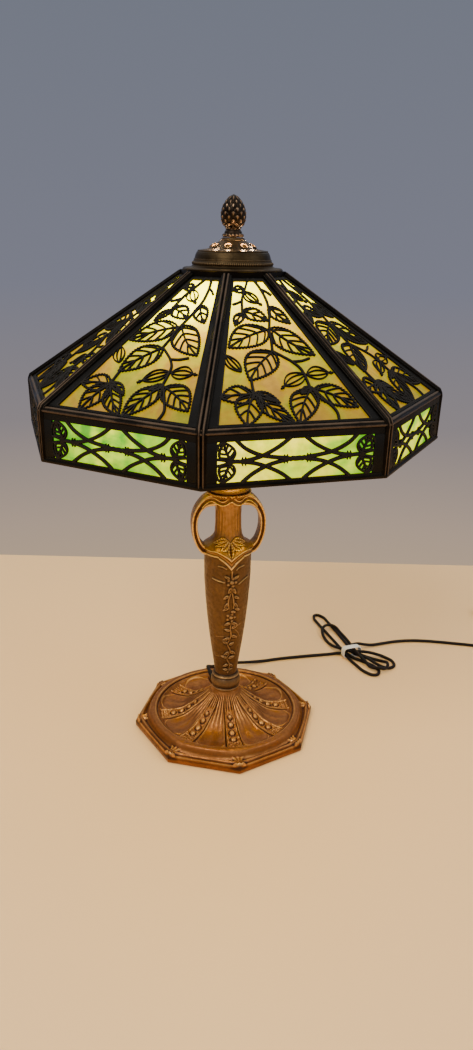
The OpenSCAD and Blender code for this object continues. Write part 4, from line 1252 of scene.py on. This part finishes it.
def brim_rows(turns, from_corner, edge):
    """Points and relief of each row of the brim, from the round dish out to the eight-sided edge."""
    for t in np.linspace(0.03, 1, 34):
        r = BRIM_R + t * (edge - BRIM_R)
        flat = brim_height(t)
        clasp = np.maximum(clasp_relief(r, r * np.sin(from_corner)) + 9.6 - flat, 0)
        clasp = clasp * rise(t, 0.04, 0.2) * rise(t, 1.0, 0.93)
        uneven = foot_unevenness(r, turns) * (t < 0.96)
        # Adds no height: a painted highlight along the reed and painted shade in the groove
        rim_wear_and_light = 1.2 * bell(t - 0.7, 0.12) - 0.8 * bell(t - 0.45, 0.06)
        yield lathe_points(r, flat + clasp + uneven, turns), clasp + rim_wear_and_light


def foot_under_rows(turns, edge):
    # The outer face and the underside get low relief that only changes their shading value: the foot's side
    # is painted a little darker as shade
    for out, z in FOOT_SIDE:
        yield lathe_points(edge + out, z, turns), 0 * turns - 0.38
    for r, z in FOOT_UNDER:
        yield lathe_points(r, z, turns), 0 * turns - 0.5


def make_foot():
    turns = all_round(896)
    from_corner = np.abs((turns - FRONT + HALF) % STEP - HALF)
    edge = FOOT_R * math.cos(HALF) / np.cos(HALF - from_corner)
    rows, reliefs = zip(
        *dish_rows(turns, from_corner), *brim_rows(turns, from_corner, edge), *foot_under_rows(turns, edge))
    wear_sheen_tone = wear_and_light_from(np.array(reliefs), 4, 6, 0.75, 0.52)
    s = Sketch()
    s.grid(rows[::-1], wear_sheen_tone[::-1], wrap_rows=True, wrap_cols=True)
    finish_piece(s.piece("foot_casting", crease=42), "root", "foot_gold", foot_gold, "foot")


make_foot()


# ---------------------------------------------------------------- column and capital

# Radius, height and a value for rubbing and painted highlight, lightest on the beads
COLLAR_PROFILE = [
    (6.0, 46.1, 0.1), (14.4, 46.1, 0.2), (15.4, 46.8, 0.6), (15.8, 47.9, 0.9), (15.4, 49.0, 0.5),
    (14.8, 49.6, 0.05), (15.5, 50.2, 0.3), (16.5, 51.8, 0.55), (16.9, 54.4, 0.65), (16.7, 57.4, 0.6),
    (16.0, 59.8, 0.55), (15.1, 61.2, 0.3), (14.5, 61.9, 0.05), (15.1, 62.5, 0.6), (15.3, 63.4, 0.9),
    (14.8, 64.3, 0.7), (13.6, 65.0, 0.3), (12.8, 65.8, 0.1), (12.6, 66.4, 0.1), (6.0, 66.4, 0.1)]


def make_collar():
    """The turned collar under the column: a beaded cup with a groove above and below."""
    turns = all_round(128)
    rows = [lathe_points(r + 0.07 * ripple(turns * r, z, 7, 61), z, turns) for r, z, _ in COLLAR_PROFILE]
    wear_sheen_tone = np.array([[w] for _, _, w in COLLAR_PROFILE])
    s = Sketch()
    s.grid(rows[::-1], wear_sheen_tone[::-1], wrap_rows=True, wrap_cols=True)
    finish_piece(s.piece("collar_cup", crease=45), "root", "column_bronze", column_gold, "collar")


make_collar()

ROD_BORE = 5.25
COLUMN_LOW, COLUMN_TOP = 66.5, 216.4
column_radius = height_of([
    (66.5, 12.5), (76, 13.7), (113, 18.9), (148, 22.8), (182, 25.2), (200, 25.6), (COLUMN_TOP, 25.7)])


# The climbing rose on a flat chart, across from the front line and up. A leaf has its start, its way in
# degrees clockwise from straight up, its length and its width. A spray has its height and its points.
VINE = [(0, 70), (2, 80), (-1.5, 90), (1.8, 100), (-1.5, 110), (2, 120), (1, 130), (2, 140)]
ROSE_STEMS = [
    [(-1.5, 156), (-2.2, 166), (0.6, 176), (1, 182)], [(4, 156), (3.6, 166), (1.6, 176), (1, 182)],
    [(1, 193), (1.2, 201)]]
ROSE_LEAVES = [
    (1, 182, 205, 8, 4.4), (2, 181, 150, 8, 4.4), (-2, 172, -125, 7, 4), (4, 171, 120, 7, 4),
    (-2, 163, 215, 8, 4), (4, 163, 145, 8, 4), (-2, 157, -120, 7, 4), (5, 156, 115, 7, 4),
    (1, 152, 100, 6, 3.6), (2, 138, 120, 9, 4.6), (1, 138, -115, 8, 4.2), (2, 130, 60, 9, 4.4),
    (1, 127, -70, 7, 4), (2, 121, 115, 8, 4.4), (1, 118, -110, 9, 4.2), (-1, 110, -60, 7, 4),
    (0, 108, 60, 7, 4), (1, 100, 125, 9, 4.6), (1, 99, -125, 8, 4), (-1, 91, -75, 8, 4),
    (0, 90, 75, 8, 4.2), (1, 82, 130, 7, 4), (0, 82, -125, 7, 4), (0, 74, 80, 6, 3.4),
    (0, 74, -80, 6, 3.4), (-1, 192, -60, 7, 3.6), (3, 192, 60, 7, 3.6)]
ROSE_SPRAYS = [
    (1.0, [(6, 202.5), (9, 205), (15, 206)]), (1.0, [(-5, 204), (-9, 206), (-14, 206.5)]),
    (1.1, [(9, 185.5), (15, 189), (22, 191)]), (1.1, [(-7, 188), (-15, 189.5), (-21, 191)]),
    (0.35, [(-2, 120), (-8, 119.5), (-15, 118.5)]), (0.35, [(1, 98), (-6, 93), (-15, 91.5)]),
    (0.4, [(3, 134), (8, 133), (13, 134.5)]), (0.4, [(5, 130), (10, 124), (13, 118)])]


def column_relief(x, z):
    """The climbing rose on the front of the column, as heights in millimetres over a flat chart."""
    relief = 1.9 * rosette(x, z, (1.0, 188), 7.0, 5) + 1.6 * rosette(x, z, (1.2, 144.5), 6.6, 5)
    relief = relief + 0.9 * line_bump(x, z, VINE, 1.6)
    for stem in ROSE_STEMS:
        relief = np.maximum(relief, 0.9 * line_bump(x, z, stem, 1.5))
    for u, v, way, length, width in ROSE_LEAVES:
        relief = np.maximum(relief, 1.3 * leaf_bump(x, z, (u, v), way, length, width))
    for height, spray in ROSE_SPRAYS:
        relief = np.maximum(relief, height * line_bump(x, z, spray, 1.3))
    ground = rise(np.abs(x - 1), 9, 5) * window(z, 70, 201, 4)
    return relief - 0.55 * ground


def two_faced(turns, radius, relief_at):
    """Relief charted on the front of a round column and again on its back."""
    total = 0
    for middle in (FRONT, FRONT + math.pi):
        away = (turns - middle + math.pi) % (2 * math.pi) - math.pi
        chart = relief_at(radius * away)
        total = total + np.where(np.abs(away) < 1.3, chart, 0)
    return total


def make_column():
    turns = all_round(400)
    z = np.linspace(COLUMN_LOW, COLUMN_TOP, 330)[:, None]
    radius = column_radius(z)
    relief = two_faced(turns, radius, lambda x: column_relief(x, z)) * window(z, COLUMN_LOW, COLUMN_TOP, 3)
    hammered = 0.10 * ripple(turns * 20, z, 6, 21)
    skin = lathe_points(radius + relief * 0.95 + hammered, z, turns)
    bore = [lathe_points(ROD_BORE, end, turns) for end in (COLUMN_TOP, COLUMN_LOW)]
    wear_sheen_tone = wear_and_light_from(np.vstack([relief, np.zeros((2, len(turns)))]), 5, 5, 0.9, 0.5)
    s = Sketch()
    s.grid(np.concatenate([skin, bore]), wear_sheen_tone, wrap_rows=True, wrap_cols=True)
    finish_piece(s.piece("column_casting", crease=50), "root", "column_bronze", column_gold, "column_body")


CHECK_Z = 285.0
LIP_Z = 222.6
# Over this height the neck keeps its shape all round; under it the shape follows the apron's edge
NECK_Z = 262
APRON_R = 27.4
neck_radius = height_of([
    (LIP_Z, 27.4), (224.2, 25.6), (226, 22.6), (229, 18.8), (232.6, 16.5), (237, 15), (244, 14.2),
    (253, 14), (262, 14), (268, 14.4), (273, 15.6), (277, 17.6), (281, 20.4), (CHECK_Z, 24)])
apron_low = height_of([
    (0, 202.4), (2, 204.9), (4.6, 208), (7.6, 211), (10.8, 213.5), (14.2, 215.4), (18, 216.5),
    (60, 216.5)])
apron_high = height_of([
    (0, 215.0), (2, 217.0), (4.6, 218.9), (7.6, 220.6), (11, 222.2), (17.7, 224.0), (25, 223.3),
    (60, LIP_Z)])


def fan_leaves(u, down):
    """Acanthus leaves over the flare, charted by the distance round it and up from the apron."""
    fan = leaf_bump(u, down, (0, 21.5), 180, 21, 8.5, 0.55)
    for at, way in ((4.5, 158), (9, 138), (13.5, 118)):
        for side in (1, -1):
            fan = np.maximum(fan, leaf_bump(u, down, (side * at * 0.35, 21.5), side * way, 20, 7.5, 0.55))
    return fan


def crown_leaves(u, z):
    """Leaf tips that hang under the top of the capital."""
    crown = 1.1 * leaf_bump(u, z, (0, 290), 180, 8.5, 6.0, 0.3)
    for at in (8, 13.5, 19, 24.5, 30):
        for side in (1, -1):
            leaf = leaf_bump(u, z, (side * at * 0.96, 288.5), 180 + side * at * 0.7, 8.5, 6.4, 0.5)
            crown = np.maximum(crown, leaf)
    return crown


def apron_rows(turns, low, high):
    """Points and relief of the apron, which hangs to a point at the front and back between two edges."""
    for t in np.linspace(0, 1, 22):
        edges = 0.9 * bell(t - 0.13, 0.10) + 1.1 * bell(t - 0.9, 0.09) - 0.7 * window(t, 0.2, 0.8, 0.15)
        relief = edges * rise(t, 0, 0.06) + 0 * turns
        yield lathe_points(APRON_R + 0.8 * relief, low + (high - low) * t, turns), relief


def neck_rows(turns, away, high):
    """Points and relief of the neck: leaves on its flare, flutes up its waist, leaf tips under its top."""
    for t in np.linspace(0, 1, 190)[1:] ** 1.25:
        z = high + (CHECK_Z - high) * t
        shape_z = np.where(z < NECK_Z, LIP_Z + (z - high) * (NECK_Z - LIP_Z) / (NECK_Z - high), z)
        radius = neck_radius(shape_z)
        up = (APRON_R - radius) * 0.9 + (shape_z - LIP_Z) * 0.85
        relief = 1.9 * fan_leaves(away * 21, np.where(shape_z < 245, up, 99.0)) * rise(up, 0.4, 2.2)
        flutes = (0.5 + 0.5 * np.cos(22 * turns)) ** 1.5 * window(shape_z, 234, 269, 8)
        relief = np.where(relief > 0.15, relief, -0.55 * flutes)
        relief = relief + 1.4 * crown_leaves(away * 20, z) * rise(z, 276, 278)
        relief = relief * rise(t, 1.0, 0.985)
        yield lathe_points(radius + relief + 0.08 * ripple(turns * 20, z, 8, 31), z, turns), relief


def neck_inner_rows(turns, low):
    for radius, z in ((ROD_BORE, CHECK_Z), (ROD_BORE, COLUMN_TOP), (25.2, COLUMN_TOP), (25.9, low + 0.05)):
        yield lathe_points(radius, z, turns), 0 * turns


def make_capital_neck():
    turns = all_round(480)
    away = (turns - FRONT + math.pi / 2) % math.pi - math.pi / 2
    low, high = apron_low(27.5 * np.abs(away)), apron_high(27.5 * np.abs(away))
    rows, reliefs = zip(
        *apron_rows(turns, low, high), *neck_rows(turns, away, high), *neck_inner_rows(turns, low))
    wear_sheen_tone = wear_and_light_from(np.array(reliefs), 4, 4, 0.75, 0.5)
    s = Sketch()
    s.grid(rows[::-1], wear_sheen_tone[::-1], wrap_rows=True, wrap_cols=True)
    neck = s.piece("capital_neck", crease=50)
    finish_piece(neck, "root", "capital_gold", capital_gold, "handled_capital")


# Where the handle passes: x and z of its outer edge, then of its inner edge, from the apron up
HANDLE_STATIONS = [
    (24.0, 214.8, 22.5, 222.5), (27.0, 214.8, 25.5, 224.0), (30.2, 216.8, 27.6, 226.0),
    (33.8, 221.6, 29.9, 229.2), (37.0, 228.6, 32.0, 234.6), (39.3, 237, 33.4, 240.5),
    (40.2, 247, 34.0, 247), (39.5, 257, 33.4, 254.6), (36.6, 266, 31.2, 260.8),
    (31.8, 273.6, 27.6, 265.9), (26.6, 279.0, 23.4, 268.6), (20.5, 282.2, 19, 269.2),
    (14, 283.4, 14, 269.6)]
# One half of the handle's section: the distance from its middle plane, how far it is from the inner
# edge to the outer, and a value for rubbing and painted highlight, highest on its raised edges
HANDLE_HALF_SECTION = [
    (8.0, 0.05, 0.6), (8.3, 0.14, 1.0), (8.1, 0.25, 0.7), (7.5, 0.34, 0.1), (7.4, 0.5, 0.15),
    (7.5, 0.66, 0.1), (8.1, 0.75, 0.7), (8.3, 0.86, 1.0), (7.9, 0.96, 0.8), (6.6, 1.0, 0.6),
    (3.2, 1.04, 0.5)]
HANDLE_BACK_SECTION = [(3.2, -0.04, 0.4), (6.8, 0.0, 0.6)]


def make_handle(side):
    stations = np.array(HANDLE_STATIONS, float)
    outer, inner = smooth_path(stations[:, :2], 7), smooth_path(stations[:, 2:], 7)
    half, back = np.array(HANDLE_HALF_SECTION), np.array(HANDLE_BACK_SECTION)
    flip = np.array((-1, 1, 1))
    section = np.concatenate([half * flip, half[::-1], back[::-1], back * flip])
    rows = []
    for o, a in zip(outer, inner):
        ring = a + (o - a) * section[:, 1:2]
        rows.append(np.column_stack([side * ring[:, 0], section[:, 0], ring[:, 1]]))
    s = Sketch()
    s.grid(rows if side < 0 else rows[::-1], section[:, 2], wrap_cols=True, caps=True)
    handle = s.piece("handle_right" if side > 0 else "handle_left", crease=45)
    finish_piece(handle, "root", "capital_gold", capital_gold)


# The brow lies round the neck as far as BROW_ROUND_X and then flat against the handle
BROW_R, BROW_ROUND_X, BROW_END_Y = 18.9, 17, 8.2
BROW_LINE = [
    (0, 279.6), (2.5, 278.4), (5.5, 276.1), (9, 274.8), (13, 275.6), (17.5, 277.1), (22.5, 276.8),
    (27, 273.6), (30.6, 269.6)]
# Across, out and a value for rubbing and painted highlight, highest on the brow's top
BROW_SECTION = mirrored([
    (-2.9, -2.5, 0.3), (-2.9, 0.2, 0.6), (-2.5, 1.0, 1.0), (-1.8, 1.1, 0.9), (-1.1, 0.35, 0.25),
    (0, 0.2, 0.3)])


def make_brows():
    """The curved ribbons that cross the neck between the tops of the handles."""
    half = smooth_path(np.array(BROW_LINE, float), 6)
    line = np.concatenate([half[::-1] * (-1, 1), half[1:]])
    s = Sketch()
    for face in (-1, 1):
        round_neck = np.sqrt(np.clip(BROW_R ** 2 - line[:, 0] ** 2, 0, None))
        y = np.where(np.abs(line[:, 0]) < BROW_ROUND_X, round_neck, BROW_END_Y)
        y = np.convolve(np.pad(y, 3, mode="edge"), np.ones(7) / 7, mode="valid")
        path = np.column_stack([line[:, 0] * -face, y * face, line[:, 1]])
        outward = unit(np.column_stack([path[:, 0] * 0.4, np.full(len(path), face * 19.0), 0 * y]))
        ways = unit(np.gradient(path, axis=0))
        ups = unit(np.cross(outward, ways))
        s.sweep(path, ups, outward, BROW_SECTION[:, :2], BROW_SECTION[:, 2])
    brows = s.piece("capital_brows", crease=50)
    finish_piece(brows, "root", "capital_gold", capital_gold)


make_column()
make_capital_neck()
make_handle(1)
make_handle(-1)
make_brows()


# ---------------------------------------------------------------- cap and finial

VENTS = 8
VENT_R, VENT_Z = 19.8, 528.75
VENT_TILT = math.radians(33)
ROPE_TWISTS, ROPE_R, ROPE_Z = 130, 38.2, 512.8
# Plain rings round the cap: radius, height and half thickness
CAP_RINGS = ((46.7, 508.2, 0.7), (37.0, 516.3, 0.45), (33.2, 524.0, 0.6), (11.7, 533.9, 0.5))


def vent_angle(k):
    return 2 * math.pi / VENTS * (k + 0.5)


def ring_points(radius, height, half, around, squash=1.0):
    """A ring of round section about the z axis; half, its half thickness, may change from turn to turn."""
    section = all_round(8)
    return lathe_points(radius + half * np.cos(section), height + squash * half * np.sin(section),
                        all_round(around)[:, None])


def make_cap_trim():
    """A rope and four rings round the cap, and raised rims round its vents."""
    s = Sketch()
    around = ROPE_TWISTS * 4
    twist = 0.5 + 0.5 * np.cos(all_round(around) * ROPE_TWISTS)[:, None]
    rope = ring_points(ROPE_R, ROPE_Z, 0.85 + 0.30 * twist, around, squash=1.25)
    # The rope's crests, the rings and the vent rims get a high value: rubbing and painted highlights
    s.grid(rope, 0.15 + 0.8 * twist, wrap_rows=True, wrap_cols=True)
    for radius, z, half in CAP_RINGS:
        s.grid(ring_points(radius, z, half, 120), 0.7, wrap_rows=True, wrap_cols=True)
    rim = ring_points(3.3, 0.2, 0.55, 28)
    for k in range(VENTS):
        place = turned(vent_angle(k)) @ moved(0, -VENT_R, VENT_Z) @ tilted(VENT_TILT)
        s.grid(rim @ place[:3, :3].T + place[:3, 3], 0.85, wrap_rows=True, wrap_cols=True)
    finish_piece(s.piece("cap_bands", crease=60), "cap", "cap_bronze", cap_bronze)


CONE_LOW, CONE_TOP = 546, 573.4
SCALE_ROWS, SCALES = 8, 9


cone_radius = height_of([
    (545, 8.0), (547.5, 9.6), (551, 11.0), (555, 11.5), (560, 11.0), (565, 9.2), (569.5, 6.2),
    (572.6, 3.2), (574.2, 0.4)])


def scale_relief(turns, z):
    """Overlapping pine cone scales, their tips up."""
    pitch = (CONE_TOP - CONE_LOW) / SCALE_ROWS
    best = np.zeros(np.broadcast(turns, z).shape)
    for row in range(-1, SCALE_ROWS + 1):
        t = (z - CONE_LOW - row * pitch) / (pitch * 1.75)
        across = np.abs((turns * SCALES / (2 * math.pi) + 0.5 * (row % 2)) % 1 - 0.5) * 2
        edge = np.clip(1.12 * np.cos(math.pi / 2 * np.clip(t, 0, 1)) ** 0.6, 0, 1)
        inside = (t > 0) & (t < 1) & (across < edge)
        q = np.clip(across / np.maximum(edge, 1e-6), 0, 1)
        height = (0.15 + 1.0 * t) * (1 - 0.45 * q ** 2) + 0.22 * bell(across, 0.16)
        best = np.maximum(best, np.where(inside, height, 0))
    return best


FINIAL_FOOT = [
    (9.7, 536.35), (10.1, 537), (10.1, 538.2), (9.7, 539.2), (8.7, 539.7), (8.5, 540.5), (8.3, 541.4),
    (7.6, 542.3), (7.2, 543.2), (7.6, 544.2), (8.2, 545)]
# The cone's closed tip and the blind bore under it: radius and height
FINIAL_BORE = ((0.02, 574.45), (0.02, 551.7), (5.26, 551.7), (5.26, 536.35))


def finial_rows(turns):
    """Points and the value for rubbing and painted highlight of each row of the finial, highest on the
    scale tips
    and gadroons: a gadrooned foot, the cone and the bore.
    """
    for r, z in smooth_path(FINIAL_FOOT, 3):
        gadroon = 0.35 * np.abs(np.cos(9 * turns)) * window(z, 536.8, 540.2, 0.8)
        yield lathe_points(r - 0.2 + gadroon, z, turns), 0.35 + gadroon * 1.4
    for z in np.linspace(545.2, 574.2, 150):
        radius = cone_radius(z)
        relief = scale_relief(turns, z) * rise(z, 545, 547) * rise(z, 574.4, 572.6)
        squeeze = min(1.0, radius / 6.0)
        yield lathe_points(radius - 0.35 + relief * squeeze, z, turns), np.clip(relief * 0.95, 0, 1)
    for r, z in FINIAL_BORE:
        yield lathe_points(r, z, turns), 0 * turns


def make_finial():
    rows, wear_sheen_tone = zip(*finial_rows(all_round(324)))
    s = Sketch()
    s.grid(rows, wear_sheen_tone, wrap_rows=True, wrap_cols=True)
    finish_piece(s.piece("pine_cone_finial", crease=38), "finial", "finial_bronze", cone_bronze, "finial")


make_cap_trim()
make_finial()


# ---------------------------------------------------------------- stage and lights

# The floor ends behind the lamp where the photo's table does: the place at x = 0 and the slant of its edge
TABLE_FAR = 0.49
TABLE_SLANT = math.tan(math.radians(-10.3))
TABLE_HALF = 3
# The light in each vent, in metres
VENT_GLOW_R, VENT_GLOW_Z = 0.0195, 0.5312


def make_stage():
    half = TABLE_HALF
    mesh = bpy.data.meshes.new("floor")
    far = [(x, TABLE_FAR + x * TABLE_SLANT, 0) for x in (half, -half)]
    mesh.from_pydata([(-half, -half, 0), (half, -half, 0), *far], [], [(0, 1, 2, 3)])
    plane = bpy.data.objects.new("floor", mesh)
    bpy.context.collection.objects.link(plane)
    n = Nodes("floor")
    n.set(Base_Color=(0.96, 0.60, 0.26), Roughness=0.5)
    mesh.materials.append(n.material)
    plane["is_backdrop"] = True


def add_light(name, kind, at, watts, colour):
    data = bpy.data.lights.new(name, kind)
    data.energy = watts
    data.color = colour
    light = bpy.data.objects.new(name, data)
    light.location = at
    bpy.context.collection.objects.link(light)
    return light


def area_light(name, at, aim, size, watts, colour):
    light = add_light(name, "AREA", at, watts, colour)
    light.data.shape = "DISK"
    light.data.size = size
    light.rotation_mode = "QUATERNION"
    light.rotation_quaternion = (Vector(aim) - Vector(at)).to_track_quat("-Z", "Y")


# The room's colours from straight down, 0, to straight up, 1
ROOM_COLOURS = [
    (0.29, (0.56, 0.41, 0.27)), (0.33, (0.47, 0.36, 0.28)), (0.39, (0.27, 0.24, 0.25)),
    (0.47, (0.20, 0.205, 0.26)), (0.62, (0.175, 0.19, 0.24)), (0.67, (0.22, 0.23, 0.27)),
    (0.78, (0.95, 0.94, 0.92)), (1.0, (1.15, 1.1, 1.05))]


def make_world():
    """A pale room: dim and bluish at eye level, warm towards the table and bright overhead."""
    world = bpy.data.worlds.new("studio")
    world.use_nodes = True
    tree = world.node_tree
    coord = tree.nodes.new("ShaderNodeTexCoord")
    split = tree.nodes.new("ShaderNodeSeparateXYZ")
    ramp = tree.nodes.new("ShaderNodeValToRGB")
    scale = tree.nodes.new("ShaderNodeMapRange")
    scale.inputs["From Min"].default_value = -1
    tree.links.new(coord.outputs["Generated"], split.inputs[0])
    tree.links.new(split.outputs["Z"], scale.inputs["Value"])
    tree.links.new(scale.outputs["Result"], ramp.inputs["Fac"])
    set_stops(ramp, ROOM_COLOURS)
    tree.links.new(ramp.outputs["Color"], tree.nodes["Background"].inputs["Color"])
    bpy.context.scene.world = world


def make_lights():
    """Soft light from both sides, and a weak warm light in each vent of the cap."""
    make_world()
    area_light("key", (-1.1, -1.3, 1.9), (0, 0, 0.25), 1.2, 38, (1.0, 0.95, 0.86))
    area_light("fill", (1.5, -0.9, 1.2), (0, 0, 0.3), 1.2, 9, (0.92, 0.95, 1.0))
    for k in range(VENTS):
        angle = vent_angle(k)
        at = (VENT_GLOW_R * math.sin(angle), -VENT_GLOW_R * math.cos(angle), VENT_GLOW_Z)
        glow = add_light(f"vent_glow_{k + 1}", "POINT", at, 0.012, (1.0, 0.62, 0.32))
        glow.data.shadow_soft_size = 0.0012


# The CAD nodes that no piece replaces, by their material
DRESS = [
    (felt_green, ["felt_pad"]), (fibre, ["seat_washer"]), (cord_vinyl, ["cord_grommet", "wiring"]),
    (brass, ["rod_washer", "rod_nuts", "cluster_body", "socket_caps", "socket_shells", "shade_holder",
             "finial_insert", "plug_blades"]),
    (threaded_brass, ["threaded_rod", "finial_stud"]), (ring_gold, ["check_ring"]),
    (porcelain, ["socket_blocks"]), (screw_nickel, ["socket_threads", "bulb_base_1", "bulb_base_2"]),
    (nickel, ["bulb_contact_1", "bulb_contact_2"]), (knob_black, ["switch_knob_1", "switch_knob_2"]),
    (bulb_glow, ["bulb_glass_1", "bulb_glass_2"]), (shade_bronze, ["crown_ring", "glass_clips"]),
    (cap_bronze, ["shade_cap"])]


def dress_cad_nodes():
    for material, nodes in DRESS:
        for node in nodes:
            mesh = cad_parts[node].data
            mesh.materials.clear()
            mesh.materials.append(material)


make_stage()
make_lights()
dress_cad_nodes()

[[list(corner) for corner in box] for box in (cad_box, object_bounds())]
